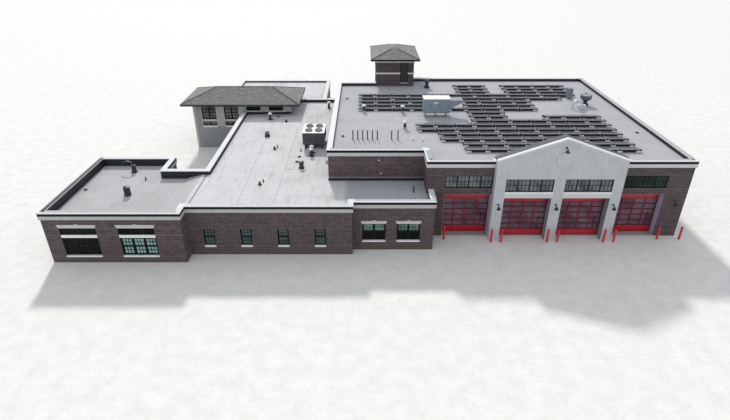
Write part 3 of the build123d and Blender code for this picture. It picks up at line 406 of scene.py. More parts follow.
DULL = {"rough": 0.72, "Specular_IOR_Level": 0.2}
looks = {
    # pale courses as their level and whether they are on the west block
    "brick_low": masonry(
        "brick_low", ((0.62, True), (2.74, True), (3.38, True), (0.85, False), (2.62, False)), 0.7, 1.05),
    # brick_high: its walls set back from the front are painted 1.42 times lighter
    "brick_high": masonry("brick_high", ((0.62, False), (4.9, False), (6.28, False)), 0.7, 0.88, 1.42),
    "brick_tower": masonry("brick_tower", ((10.15, False),), 0.0, 0.94),
    "stone": cut_stone("stone", (226, 225, 226)),
    "band_low": cut_stone("low_band_stone", (189, 188, 190)),
    "band_high": cut_stone("high_band_stone", (210, 209, 212)),
    "sill": cut_stone("sill_stone", (250, 250, 250), lintel=(206, 204, 198)),
    "stucco": plaster("portal_stucco", (197, 200, 204)),
    "hall_stucco": plaster("hall_stucco", (150, 154, 158)),
    "concrete": plaster("floor_concrete", (160, 158, 156)),
    "membrane": roof_sheet("roof_membrane", (206, 206, 209)),
    "membrane_high": roof_sheet("high_membrane", (177, 178, 184)),
    "membrane_west": roof_sheet("west_membrane", (184, 183, 187)),
    "lining": painted("parapet_lining", (36, 40, 50), 0.6, dirt=0.1),
    "shingle": shingles("shingle"),
    # Painted shade: the level tops of the two metal copings are a little darker than their upright faces
    "coping": two_tone("coping_metal", (248, 249, 250), (224, 226, 230), 3, 0.5, **DULL),
    "coping_low": two_tone("low_coping_metal", (246, 247, 249), (218, 220, 224), 3, 0.5, **DULL),
    "coping_rake": two_tone("rake_coping_metal", (246, 247, 249), (96, 97, 102), 1, -0.7, **DULL),
    "black": painted("black_metal", (8, 8, 11), 0.6, Specular_IOR_Level=0.3),
    "joint": painted("stucco_joint", (170, 174, 179), 0.7, dirt=0.05),
    "seam": painted("sheet_seam", (140, 141, 144), 0.6, dirt=0.1),
    "red": enamel("door_enamel", (150, 13, 44), (196, 8, 40)),
    "red_bright": painted(
        "door_panel_enamel", (198, 10, 40), 0.28, dirt=0.08, Coat_Weight=0.3, Coat_Roughness=0.1),
    "frame": painted("frame_metal", (14, 17, 18), 0.55, Specular_IOR_Level=0.25),
    "casing": painted("white_casing", (240, 240, 238), 0.5, dirt=0.06),
    "edge": painted("stucco_edge", (214, 217, 220), 0.6, dirt=0.05),
    "disc": rimmed("disc_paint", (197, 200, 204), (212, 214, 216), PORTAL_MIDDLE, 8.1, 0.54),
    "dark_door": painted("dark_door", (52, 52, 56)),
    "rack": painted("rack_metal", (150, 152, 156), 0.4, 0.6),
    # Wind plates: real plates, made near black as painted shade of the shadowed fronts of the panel rows
    "rack_shade": painted("rack_wind_plate", (24, 24, 30), 0.5),
    "solar": solar("solar_cells"),
    "silver": painted("panel_frame", (206, 208, 210), 0.3, 0.5),
    "ballast": plaster("ballast_concrete", (222, 222, 220)),
    "unit": painted("unit_paint", (138, 154, 166)),
    "unit_deep": painted("unit_deep_paint", (82, 91, 98), 0.5),
    "unit_dim": painted("unit_dim_paint", (104, 102, 106), 0.5),
    "split_unit": two_tone("split_unit_paint", (206, 210, 212), (118, 132, 140), 1, 18.6),
    "unit_white": painted("unit_lid", (236, 238, 238), 0.42, dirt=0.06),
    "unit_dark": painted("unit_coil", (108, 104, 111), 0.6, 0.2),
    "vent_top": painted("vent_top", (196, 207, 214), dirt=0.06),
    "zinc": painted("zinc", (152, 150, 132), 0.42, 0.5),
    # Painted shade: the low unit's legs, below x 0, are dark for the shade under that unit; the high
    # unit's are pale
    "stands": two_tone("stand_metal", (70, 66, 66), (160, 158, 138), 0, 0.0, 0.42),
    "lip": painted("panel_lip", (190, 190, 197), 0.4, dirt=0.08),
    "cap_shingle": painted("ridge_caps", (80, 80, 84), 0.9, dirt=0.15, grain=60.0),
    "pier": painted("hall_piers", (182, 185, 188), 0.6, dirt=0.06),
    "vent": painted("vent_paint", (52, 52, 56), 0.5),
    "pale_vent": painted("pale_vent", (226, 226, 224)),
    "lamp": painted("lamp_black", (26, 26, 28), 0.38),
    "post": painted("post_red", (214, 26, 54), 0.3, dirt=0.1, Coat_Weight=0.5, Coat_Roughness=0.08),
    "rubber": painted("rubber", (24, 24, 25), 0.8),
    "liner": painted("jamb_liner", (138, 144, 154), 0.6),
    # A bluer, lighter copy of the jamb liner for the outer bays: painted sky light on their deep jambs
    "liner_skylit": painted("skylit_jamb_liner", (176, 174, 196), 0.6),
    "floor": plaster("stage_floor", (232, 231, 229)),
}
for name, *settings in (
    ("glass_teal", (62, 96, 92), (126, 164, 156)),
    ("glass_bright", (103, 148, 146), (162, 204, 200)),
    ("glass_hall", (60, 64, 64), (120, 122, 120), 0.5, 0.35),
    ("glass_office", (32, 52, 54), (74, 102, 103)),
    ("glass_dark", (5, 10, 11), (16, 24, 24), 0.0, 0.1),
    ("glass_smoke", (14, 30, 24), (34, 54, 46), 0.8, 0.15),
    ("glass_pale", (60, 70, 73), (118, 127, 131), 1.2, 0.35),
    ("glass_door", (84, 70, 84), (120, 104, 118), 0.6, 0.2),
):
    looks[name] = glass(name, *settings)

dress = {
    "brick_low": "low_front_walls low_rear_walls low_side_walls",
    "brick_high": "high_front_walls high_side_walls high_rear_walls",
    "brick_tower": "tower_walls",
    "concrete": "ground_floor",
    "membrane": "low_roof_deck",
    "membrane_west": "west_roof_deck",
    "membrane_high": "high_roof_deck",
    "coping_low": "low_copings",
    "coping": "high_copings",
    "coping_rake": "portal_coping",
    "black": "fascia_lines",
    "stone": "tower_trim",
    "band_low": "low_cornice",
    "band_high": "high_cornice",
    "sill": "stone_trim",
    "stucco": "portal",
    "disc": "medallion",
    "red": "bay_door_1 bay_door_2 bay_door_3 bay_door_4",
    "glass_door": "bay_door_glass",
    "frame": "transom_frames window_frames",
    "glass_dark": "window_glass transom_glass",
    "hall_stucco": "hall_walls",
    "shingle": "hall_roof tower_roof",
    "dark_door": "tower_door",
    "rack_shade": "solar_racks",
    "solar": "solar_panels",
    "ballast": "ballast_blocks",
    "unit": "roof_unit_high",
    "unit_dim": "roof_unit_low",
    "split_unit": "condensers",
    "stands": "unit_stands",
    "vent": "roof_vents",
    "lamp": "wall_lamps",
    "post": "bollards",
}
for look_name, names in dress.items():
    for node in names.split():
        slots = nodes[node].data.materials
        slots.clear()
        slots.append(looks[look_name])


# Pieces

def add_bevel(obj, width):
    edge = obj.modifiers.new("edges", "BEVEL")
    edge.width = width
    edge.segments = 1
    edge.limit_method = "ANGLE"


def circle(sides):
    turns = [2 * math.pi * i / sides for i in range(sides)]
    return [(math.cos(turn), math.sin(turn)) for turn in turns]


class Piece:
    """A mesh gathered from many small shapes, written in metres of the real building."""

    def __init__(self, name, slot, look, bevel=0.0, smooth=False):
        self.name, self.slot, self.bevel, self.smooth = name, slot, bevel, smooth
        self.looks = [look]
        self.points, self.faces, self.kinds = [], [], []

    def add(self, points, faces, look=None):
        look = look or self.looks[0]
        if look not in self.looks:
            self.looks.append(look)
        start = len(self.points)
        self.points.extend(points)
        self.faces.extend([start + i for i in face] for face in faces)
        self.kinds.extend([self.looks.index(look)] * len(faces))

    def rings(self, rings, look=None):
        """Rings of points joined by bands of faces, with a cap at each end."""
        count, last = len(rings[0]), len(rings) - 1
        faces = [list(range(count))[::-1], list(range(last * count, last * count + count))]
        for low in range(0, last * count, count):
            for i in range(count):
                j = (i + 1) % count
                faces.append([low + i, low + j, low + count + j, low + count + i])
        self.add([point for ring in rings for point in ring], faces, look)

    def box(self, x0, x1, y0, y1, z0, z1, look=None):
        plan = (x0, y0), (x1, y0), (x1, y1), (x0, y1)
        self.rings([[(x, y, z) for x, y in plan] for z in (z0, z1)], look)

    def slab(self, corners, thick, look=None):
        """A thin plate under four corners."""
        self.rings([corners, [(x, y, z - thick) for x, y, z in corners]], look)

    def lathe(self, x, y, profile, sides=20, look=None, axis="z", z=0.0):
        """Turned about an upright line at x, y, or about a line along y at x, z."""
        rings = []
        for radius, along in profile:
            ring = [(radius * a, radius * b) for a, b in circle(sides)]
            if axis == "z":
                rings.append([(x + a, y + b, z + along) for a, b in ring])
            else:
                rings.append([(x + a, y - along, z + b) for a, b in ring])
        self.rings(rings, look)

    def tube(self, path, radius, sides=8, look=None):
        """A round bar along a path of points."""
        path = [Vector(p) for p in path]
        rings = []
        for k, centre in enumerate(path):
            ahead = (path[min(k + 1, len(path) - 1)] - path[max(k - 1, 0)]).normalized()
            side = ahead.cross(Vector((0, 0, 1)))
            if side.length < 0.01:
                side = ahead.cross(Vector((0, 1, 0)))
            side.normalize()
            up = side.cross(ahead)
            rings.append([centre + side * a * radius + up * b * radius for a, b in circle(sides)])
        self.rings(rings, look)

    def done(self, *replaced):
        mesh = bpy.data.meshes.new(self.name)
        mesh.from_pydata([at(*p) for p in self.points], [], self.faces)
        for look in self.looks:
            mesh.materials.append(looks[look])
        mesh.polygons.foreach_set("material_index", self.kinds)
        shaped = bmesh.new()
        shaped.from_mesh(mesh)
        bmesh.ops.recalc_face_normals(shaped, faces=shaped.faces)
        shaped.to_mesh(mesh)
        shaped.free()
        obj = bpy.data.objects.new(self.name, mesh)
        bpy.context.scene.collection.objects.link(obj)
        if self.bevel:
            add_bevel(obj, self.bevel * HALF)
        if self.smooth:
            mesh.polygons.foreach_set("use_smooth", [True] * len(mesh.polygons))
            mesh.set_sharp_from_angle(angle=math.radians(38))
        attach(obj, "root")
        if replaced:
            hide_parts(*replaced)


class Wall:
    """A wall face: axis of its normal, its place and its side."""

    def __init__(self, axis, plane, sign):
        self.axis, self.plane, self.sign = axis, plane, sign

    def box(self, piece, u0, u1, z0, z1, d0, d1, look=None):
        """A bar u0 to u1 along the wall and d0 to d1 inward from its face."""
        near, far = sorted((self.plane - self.sign * d0, self.plane - self.sign * d1))
        if self.axis == "y":
            piece.box(u0, u1, near, far, z0, z1, look)
        else:
            piece.box(near, far, u0, u1, z0, z1, look)

    def sides(self, piece, u0, u1, z0, z1, wide, d0, d1, look=None):
        """Two upright bars, inside both ends."""
        for left in (u0, u1 - wide):
            self.box(piece, left, left + wide, z0, z1, d0, d1, look)

    def ring(self, piece, u0, u1, z0, z1, wide, d0, d1, look=None):
        """Four bars round a rectangle, inside it."""
        self.box(piece, u0, u1, z0, z0 + wide, d0, d1, look)
        self.box(piece, u0, u1, z1 - wide, z1, d0, d1, look)
        self.sides(piece, u0, u1, z0 + wide, z1 - wide, wide, d0, d1, look)


west = Wall("y", WEST_FRONT, -1)
office = Wall("y", OFFICE_FRONT, -1)
entry = Wall("y", ENTRY_FRONT, -1)
doors = Wall("y", DOOR_FRONT, -1)
gable = Wall("y", GABLE_FRONT, -1)
setback = Wall("y", SETBACK_FRONT, -1)
west_side = Wall("x", WEST_LEFT, -1)
court = Wall("x", OFFICE_LEFT, -1)
wing_back = Wall("y", WING_BACK, 1)
high_right = Wall("x", HIGH_RIGHT, 1)
high_back = Wall("y", HIGH_BACK, 1)
hall_front = Wall("y", HALL_FRONT, -1)
hall_left = Wall("x", HALL_LEFT, -1)
tower_front = Wall("y", TOWER_FRONT, -1)

# Glazing in the frames of the solids
FRAME_IN, FRAME_WIDE = 0.12, 0.07
sash = Piece("sash_bars", "black_frame", "frame", 0.006)
casing = Piece("window_casings", "stone", "casing", 0.008)
panes = Piece("pane_reflections", "window_glass", "glass_dark")


def lights(wall, u0, u1, z0, z1, columns, rows, glow, inset, rim=0.05, bar=0.016):
    """One sash inside its frame: its rim, thin bars and its panes."""
    near, far = inset + 0.012, inset + 0.047
    wall.ring(sash, u0, u1, z0, z1, rim, near, far)
    left, right, foot, head = u0 + rim, u1 - rim, z0 + rim, z1 - rim
    for i in range(1, columns):
        middle = left + (right - left) * i / columns
        wall.box(sash, middle - bar, middle + bar, foot, head, near + 0.005, far - 0.005)
    for j in range(1, rows):
        level = foot + (head - foot) * j / rows
        wall.box(sash, left, right, level - bar, level + bar, near + 0.007, far - 0.007)
    wall.box(panes, left, right, foot, head, far - 0.008, far - 0.002, glow)


def units(wall, u0, u1, z0, z1, count, columns, rows, glow, hung=False, inset=FRAME_IN, **bars):
    """Window units side by side; a hung one has two sashes, the lower set back."""
    wide = (u1 - u0 - FRAME_WIDE * (count + 1)) / count
    foot, head = z0 + FRAME_WIDE, z1 - FRAME_WIDE
    middle = (foot + head) / 2
    sashes = ((middle, head, 0.0), (foot, middle, 0.018)) if hung else ((foot, head, 0.0),)
    for i in range(count):
        left = u0 + FRAME_WIDE + i * (wide + FRAME_WIDE)
        for low, high, back in sashes:
            lights(wall, left, left + wide, low, high, columns, rows, glow, inset + back, **bars)


WIDE_HALF = 1.55
side = (WEST_FRONT + WEST_BACK) / 2
for wall, centres in ((west, (-24.27, -19.34)), (west_side, (side - 2.6, side + 2.6))):
    for centre, glow in zip(centres, ("glass_dark", "glass_bright")):
        u0, u1 = centre - WIDE_HALF, centre + WIDE_HALF
        units(wall, u0, u1, 0.7, 2.47, 3, 3, 2, glow, True, rim=0.09, bar=0.03)
        units(wall, u0, u1, 2.73, 3.45, 3, 3, 1, "glass_dark")
NARROW_PITCH, NARROW_HALF = 3.24, 0.5
NARROW = [(office, -13.66 + NARROW_PITCH * i) for i in range(4)]
NARROW += [(court, (COURT_FRONT + HALL_FRONT) / 2 + (i - 1.5) * NARROW_PITCH) for i in range(4)]
NARROW += [(wing_back, (WING_LEFT + WING_RIGHT) / 2 + (i - 1) * NARROW_PITCH) for i in range(3)]
for wall, centre in NARROW:
    for foot, head in ((0.93, 1.765 + FRAME_WIDE / 2), (1.765 - FRAME_WIDE / 2, 2.6)):
        units(wall, centre - NARROW_HALF, centre + NARROW_HALF, foot, head, 1, 3, 2, "glass_office")
for centre in (0.79, 3.86):
    for foot, head, glow in (
        (0.96, 1.82 + FRAME_WIDE / 2, "glass_dark"),
        (1.82 - FRAME_WIDE / 2, 2.68, "glass_teal"),
    ):
        units(entry, centre - 1.04, centre + 1.04, foot, head, 2, 3, 2, glow, rim=0.075)
for k, centre in enumerate(BAYS):
    u0, u1 = centre - BAY_HALF, centre + BAY_HALF
    face = gable if k in (1, 2) else doors
    glow = "glass_smoke" if k == 3 else "glass_pale"
    units(face, u0, u1, TRANSOM_FOOT, TRANSOM_HEAD, 4, 3, 2, glow, inset=0.05, rim=0.02, bar=0.02)
    units(high_back, u0, u1, TRANSOM_FOOT, TRANSOM_HEAD, 4, 4, 3, "glass_teal")
    side = (DOOR_FRONT + HIGH_BACK) / 2 + (k - 1.5) * 6.0
    u0, u1 = side - BAY_HALF / 2, side + BAY_HALF / 2
    units(high_right, u0, u1, TRANSOM_FOOT, TRANSOM_HEAD, 2, 4, 3, "glass_teal")

# Hall: two tall windows, two short ones over the low roof, all with pale surrounds
HALL_HEAD, BOARD_FOOT = 5.55, 5.68
for k in range(4):
    u0, u1 = -20.0 + 2.88 * k - 0.925, -20.0 + 2.88 * k + 0.925
    over_roof = k >= 2
    foot = 4.95 if over_roof else 2.95
    if over_roof:
        units(hall_front, u0, u1, foot, HALL_HEAD, 2, 2, 1, "glass_smoke")
        hall_front.box(casing, u0 - 0.12, u1 + 0.12, foot - 0.1, foot, -0.045, 0.01)
    else:
        units(hall_front, u0, u1, foot, 3.52, 2, 2, 1, "glass_hall")
        units(hall_front, u0, u1, 3.8, HALL_HEAD, 2, 2, 2, "glass_hall", True)
    hall_front.sides(casing, u0 - 0.06, u1 + 0.06, foot, HALL_HEAD, 0.06, -0.025, 0.01, "edge")
    hall_front.box(casing, u0 - 0.12, u1 + 0.12, HALL_HEAD, HALL_HEAD + 0.12, -0.035, 0.01, "pier")
sash.done()
panes.done()

# Pale strips on the hall between its windows, its eave boards and corner boards
for left, right, foot in (
    (-21.99, -21.7, 0.0), (-19.015, -18.105, 2.9), (-16.135, OFFICE_LEFT, 2.9),
    (-15.3, -15.225, 4.86), (-13.255, -12.345, 4.86), (-10.375, -9.42, 4.86),
):
    hall_front.box(casing, left, right, foot, BOARD_FOOT, -0.02, 0.01, "pier")
hall_front.box(casing, -21.99, -9.38, BOARD_FOOT, HALL_EAVE, -0.04, 0.01)
hall_left.box(casing, 22.5, 28.02, BOARD_FOOT, HALL_EAVE, -0.04, 0.01)
hall_left.sides(casing, 22.5, 28.02, 0.0, BOARD_FOOT, 0.3, -0.03, 0.01)

# Thin pale edges round the openings of the portal
EDGE, LEDGE_TOP = 0.05, 4.85
for centre in BAYS[1:3]:
    u0, u1 = centre - BAY_HALF - EDGE, centre + BAY_HALF + EDGE
    for foot, head, out in ((BAY_HEAD, 4.44, 0.022), (4.46, 4.83, 0.014), (TRANSOM_HEAD, 6.29, 0.022)):
        gable.box(casing, u0, u1, foot, head, -out, 0.0, "edge")
    for foot, head in ((0.0, BAY_HEAD), (LEDGE_TOP, TRANSOM_HEAD)):
        gable.sides(casing, u0, u1, foot, head, EDGE, -0.02, 0.0, "edge")

# Linings and bright strips where walls stand on the low roof, and two plates on the setback wall
for wall, u0, u1 in (
    (setback, HIGH_LEFT, HIGH_STEP),
    (Wall("x", HIGH_LEFT, -1), SETBACK_FRONT, HIGH_BACK_LEFT),
    (hall_front, OFFICE_LEFT, HALL_RIGHT),
):
    wall.box(casing, u0, u1, LOW_DECK, LOW_DECK + 0.3, -0.03, 0.0, "lining")
    wall.box(casing, u0, u1, LOW_DECK + 0.3, LOW_DECK + 0.33, -0.036, 0.0, "silver")
for u, level in ((1.3, 6.59), (1.52, 5.26)):
    setback.ring(casing, u - 0.08, u + 0.08, level - 0.06, level + 0.06, 0.03, -0.03, 0.0)
    setback.box(casing, u - 0.05, u + 0.05, level - 0.03, level + 0.03, -0.02, 0.0, "silver")
casing.done()

# Joints of the portal stucco, drawn as slim beads
joints = Piece("stucco_joints", "stucco", "joint", 0.003)
BEAD_FRONT, BEAD_SIDE, BEAD_TOP = GABLE_FRONT - 0.006, 5.23, 7.75
PIER_EDGE = BAY_HALF + 0.08
for left, right in (
    (PORTAL_LEFT, BAYS[1] - PIER_EDGE),
    (BAYS[1] + PIER_EDGE, BAYS[2] - PIER_EDGE),
    (BAYS[2] + PIER_EDGE, PORTAL_RIGHT),
):
    gable.box(joints, left, right, 6.27, 6.3, -0.006, 0.0)
    gable.box(joints, left, right, 3.1, 3.125, -0.006, 0.0)
for sign in (-1, 1):
    u = PORTAL_MIDDLE + sign * BEAD_SIDE
    gable.box(joints, u - 0.012, u + 0.012, 6.3, BEAD_TOP, -0.006, 0.0)
    bead = [(u, BEAD_TOP), (PORTAL_MIDDLE, 9.56), (PORTAL_MIDDLE, 9.59), (u, BEAD_TOP + 0.03)]
    joints.rings([[(x, y, z) for x, z in bead] for y in (BEAD_FRONT, GABLE_FRONT)])
joints.done()

# Bay doors: section lines, raised mouldings, lights, bottom seal, side strips, handles and jambs
door_trim = Piece("door_mouldings", "red_door", "red", 0.006)
door_dark = Piece("door_seals", "black_frame", "rubber", 0.004)
liners = Piece("jamb_liners", "stucco", "liner", 0.005)
STILE, RAIL, BEAD = 0.1, 0.09, 0.022
LIGHTS_FOOT, LIGHTS_HEAD, COLUMNS, ROWS = 0.76, 3.6, 4, 5
light_wide = (2 * BAY_HALF - STILE * (COLUMNS + 1)) / COLUMNS
light_tall = (LIGHTS_HEAD - LIGHTS_FOOT - RAIL * (ROWS - 1)) / ROWS
for k, centre in enumerate(BAYS):
    u0, u1 = centre - BAY_HALF, centre + BAY_HALF
    inner = k in (1, 2)
    leaf = 0.04 if inner else 0.7
    for i in range(COLUMNS):
        left = u0 + STILE + i * (light_wide + STILE)
        right = left + light_wide
        for j in range(ROWS):
            foot = LIGHTS_FOOT + j * (light_tall + RAIL)
            head = foot + light_tall
            bead = left - BEAD, right + BEAD, foot - BEAD, head + BEAD
            doors.ring(door_trim, *bead, BEAD, leaf - 0.012, leaf)
            doors.ring(door_dark, left, right, foot, head, 0.01, leaf + 0.02, leaf + 0.06)
        for foot, head in ((0.2, 0.66), (3.72, 4.3)):
            doors.ring(door_trim, left, right, foot, head, 0.03, leaf - 0.014, leaf, "red_bright")
            field = left + 0.07, right - 0.07, foot + 0.07, head - 0.07
            doors.box(door_trim, *field, leaf - 0.01, leaf, "red_bright")
    for j in range(ROWS + 1):
        level = LIGHTS_FOOT - RAIL / 2 + j * (light_tall + RAIL)
        doors.box(door_dark, u0, u1, level - 0.005, level + 0.005, leaf - 0.003, leaf)
    doors.box(door_dark, u0, u1, 0.1, 0.15, leaf - 0.02, leaf + 0.05)
    doors.sides(door_dark, u0, u1, 0.15, BAY_HEAD, 0.07, leaf - 0.03, leaf)
    doors.box(door_trim, u0 + 0.02, u1 - 0.02, 4.3, 4.36, leaf - 0.02, leaf, "red_bright")
    for foot, head in ((0.82, 1.15), (1.45, 2.15)):
        doors.box(door_dark, centre + 1.5, centre + 1.575, foot, head, leaf - 0.012, leaf + 0.02)
    # Outer bays take the copy of the liner with painted sky light
    near, ground, look = (-0.77, 0.0, "liner") if inner else (0.01, 0.1, "liner_skylit")
    doors.sides(liners, u0, u1, ground, BAY_HEAD, 0.02, near, leaf, look)
    doors.box(liners, u0 + 0.02, u1 - 0.02, BAY_HEAD - 0.02, BAY_HEAD, near, leaf, look)
door_trim.done()
door_dark.done()
liners.done()

# Parapets: chains of outer corners with the roof on the left
PARAPET = 0.35
LOW_CHAIN = (
    (OFFICE_LEFT, HALL_FRONT), (OFFICE_LEFT, COURT_FRONT), (COURT_LEFT, COURT_FRONT),
    (COURT_LEFT, WEST_BACK), (WEST_LEFT, WEST_BACK), (WEST_LEFT, WEST_FRONT),
    (OFFICE_LEFT, WEST_FRONT), (OFFICE_LEFT, OFFICE_FRONT), (ENTRY_LEFT, OFFICE_FRONT),
    (ENTRY_LEFT, ENTRY_FRONT), (ENTRY_RIGHT, ENTRY_FRONT), (ENTRY_RIGHT, DOOR_FRONT),
)
LOW_CHAIN_DECKS = [LOW_DECK] + [WEST_DECK] * 6 + [LOW_DECK] * 4
WING_CHAIN = (
    (WING_RIGHT, HALL_BACK), (WING_RIGHT, WING_BACK), (WING_LEFT, WING_BACK), (WING_LEFT, HALL_BACK),
)
HIGH_CHAIN = (
    (TOWER_LEFT, HIGH_BACK_LEFT), (HIGH_LEFT, HIGH_BACK_LEFT), (HIGH_LEFT, SETBACK_FRONT),
    (HIGH_STEP, SETBACK_FRONT), (HIGH_STEP, DOOR_FRONT), (HIGH_RIGHT, DOOR_FRONT),
    (HIGH_RIGHT, HIGH_BACK), (TOWER_RIGHT, HIGH_BACK),
)


def runs(chain, inset=0.0):
    """The walls of a chain, moved in: axis, plane, inward side, start and end."""
    inward = [
        ((a[1] > b[1]) - (a[1] < b[1]), (b[0] > a[0]) - (b[0] < a[0]))
        for a, b in zip(chain, chain[1:])
    ]
    corners = [
        (x + inset * (p[0] + q[0]), y + inset * (p[1] + q[1]))
        for (x, y), p, q in zip(chain, [(0, 0)] + inward, inward + [(0, 0)])
    ]
    for a, b, side in zip(corners, corners[1:], inward):
        along = 1 if side[0] else 0
        yield "yx"[along], a[1 - along], side[1 - along], *sorted((a[along], b[along]))


def joint_places(start, end, pitch):
    count = max(1, round((end - start) / pitch))
    return [start + (end - start) * k / count for k in range(1, count)]


lining = Piece("parapet_linings", "membrane", "lining", 0.006)
inner = [(*run, deck, LOW_TOP) for run, deck in zip(runs(LOW_CHAIN, PARAPET), LOW_CHAIN_DECKS)]
inner += [
    ("x", HIGH_LEFT - PARAPET, -1, HIGH_BACK_LEFT, HALL_BACK - PARAPET, LOW_DECK, LOW_TOP),
    ("y", HALL_BACK - PARAPET, -1, HALL_RIGHT, HIGH_LEFT, LOW_DECK, LOW_TOP),
    ("y", HALL_BACK, 1, WING_LEFT + PARAPET, WING_RIGHT - PARAPET, WING_DECK, LOW_TOP),
]
inner += [(*run, WING_DECK, LOW_TOP) for run in runs(WING_CHAIN, PARAPET)]
inner += [(*run, HIGH_DECK, HIGH_TOP) for run in runs(HIGH_CHAIN, PARAPET)]
for axis, plane, side, start, end, deck, top in inner:
    wall, head = Wall(axis, plane, side), top - COPING_TALL
    wall.box(lining, start, end, deck, head, -0.012, 0.0)
    wall.box(lining, start, end, deck, deck + 0.05, -0.07, -0.012)
    for u in joint_places(start, end, SHEET_WIDE):
        wall.box(lining, u - 0.05, u + 0.05, deck, head, -0.017, -0.012)
lining.done()

# Coping joint covers, a black edge over the stone bands, and roof sheet turned up onto some copings
covers = Piece("coping_covers", "coping", "coping", 0.004)
BAND_OUT, EDGE_FOOT, EDGE_HEAD = 0.0925, 0.318, 0.262
TURNED_UP = {
    ("y", WEST_FRONT): "membrane_west",
    ("x", WEST_LEFT): "lining",
    ("y", OFFICE_FRONT): "membrane",
    ("y", ENTRY_FRONT): "membrane",
    ("y", DOOR_FRONT): "membrane_high",
    ("y", SETBACK_FRONT): "membrane_high",
    ("x", HIGH_RIGHT): "membrane_high",
    ("x", HIGH_STEP): "membrane_high",
}
outer = [(*run, LOW_TOP, "coping_low") for run in (*runs(LOW_CHAIN), *runs(WING_CHAIN))]
outer.append(("y", HALL_BACK, -1, WING_RIGHT, HIGH_LEFT, LOW_TOP, "coping_low"))
for axis, plane, side, start, end in runs(HIGH_CHAIN):
    parts = [(start, end)]
    if (axis, plane) == ("y", DOOR_FRONT):
        parts = [(start, PORTAL_LEFT), (PORTAL_RIGHT, end)]
    outer += [(axis, plane, side, *part, HIGH_TOP, "coping") for part in parts]
for axis, plane, side, start, end, top, metal in outer:
    wall = Wall(axis, plane, -side)
    u0, u1 = start - BAND_OUT, end + BAND_OUT
    wall.box(covers, u0, u1, top - EDGE_FOOT, top - EDGE_HEAD, -BAND_OUT, -0.08, "black")
    for u in joint_places(start, end, 3.0):
        wall.box(covers, u - 0.06, u + 0.06, top, top + 0.006, -0.105, 0.4, metal)
    sheet = TURNED_UP.get((axis, plane))
    if sheet:
        wall.box(covers, start + 0.2, end - 0.2, top, top + 0.007, 0.04, 0.4, sheet)
covers.done()

# Roof sheet laps, raised a few millimetres, long seams, and walkway pads by the units
laps = Piece("sheet_laps", "membrane", "membrane", 0.003)
for x0, x1, y0, y1, deck, sheet in (
    (-14.9, -3.9, -2.8, 27.0, LOW_DECK, "membrane"),
    (-26.5, -18.0, -4.0, 3.9, WEST_DECK, "membrane_west"),
    (-18.1, -6.0, 28.1, 37.3, WING_DECK, "membrane"),
    (-3.0, 28.8, 3.1, 25.5, HIGH_DECK, "membrane_high"),
):
    for k in range(1, int((x1 - x0) / SHEET_WIDE) + 1):
        x = x0 + k * SHEET_WIDE
        if x < x1 - 0.3:
            back = 22.5 if deck == LOW_DECK and x < HALL_RIGHT else y1
            laps.box(x - 0.06, x + 0.06, y0, back, deck, deck + 0.004, sheet)
for x0, x1, y0, y1, deck, thick, sheet in (
    (-11.22, -11.17, -2.8, 22.4, LOW_DECK, 0.006, "seam"),
    (-8.02, -7.97, -2.8, 17.5, LOW_DECK, 0.006, "seam"),
    (-7.97, -6.6, 8.28, 8.33, LOW_DECK, 0.006, "seam"),
    (-7.97, -6.6, 5.2, 5.25, LOW_DECK, 0.006, "seam"),
    (-15.43, -15.34, -2.8, 4.0, LOW_DECK, 0.012, "lining"),
    (-7.4, -6.9, 10.2, 14.0, LOW_DECK, 0.01, "membrane"),
    (5.7, 9.9, 12.0, 12.6, HIGH_DECK, 0.01, "membrane_high"),
):
    laps.box(x0, x1, y0, y1, deck, deck + thick, sheet)
laps.done()

# Drains with a clamp ring and a domed strainer, and small pipes
drains = Piece("roof_drains", "vent_metal", "vent", smooth=True)
for x, y, deck in (
    (-2.18, 19.8, HIGH_DECK), (-2.2, 7.0, HIGH_DECK), (-26.07, 1.44, WEST_DECK), (-6.86, 8.41, LOW_DECK),
    (-6.97, 7.09, LOW_DECK), (27.6, 8.0, HIGH_DECK), (27.6, 22.0, HIGH_DECK), (-11.0, 21.5, LOW_DECK),
):
    drains.lathe(x, y, ((0.24, 0.0), (0.24, 0.015), (0.19, 0.025), (0.19, 0.02)), 20, "seam", z=deck)
    drains.lathe(x, y, ((0.14, 0.02), (0.135, 0.08), (0.1, 0.13), (0.04, 0.15)), 16, z=deck)
for x, y, deck, tall in (
    (-21.26, 3.63, WEST_DECK, 0.3), (-6.42, 6.71, LOW_DECK, 0.26), (-6.87, 10.04, LOW_DECK, 0.26),
    (-3.88, 6.84, LOW_DECK, 0.26), (-9.62, 2.4, LOW_DECK, 0.26), (-9.55, 11.15, LOW_DECK, 0.26),
    (4.49, 0.91, LOW_DECK, 0.26), (4.43, 0.2, LOW_DECK, 0.26),
):
    pipe = ((0.12, 0.0), (0.07, 0.06), (0.05, 0.09), (0.05, tall), (0.055, tall), (0.055, tall + 0.04))
    drains.lathe(x, y, pipe, 14, z=deck)
for x, y in ((4.71, 6.03), (5.66, 5.87)):
    pot = ((0.2, 0.0), (0.2, 0.03), (0.16, 0.05), (0.15, 0.18), (0.1, 0.24), (0.03, 0.26))
    drains.lathe(x, y, pot, 18, "pale_vent", z=HIGH_DECK)
drains.done()

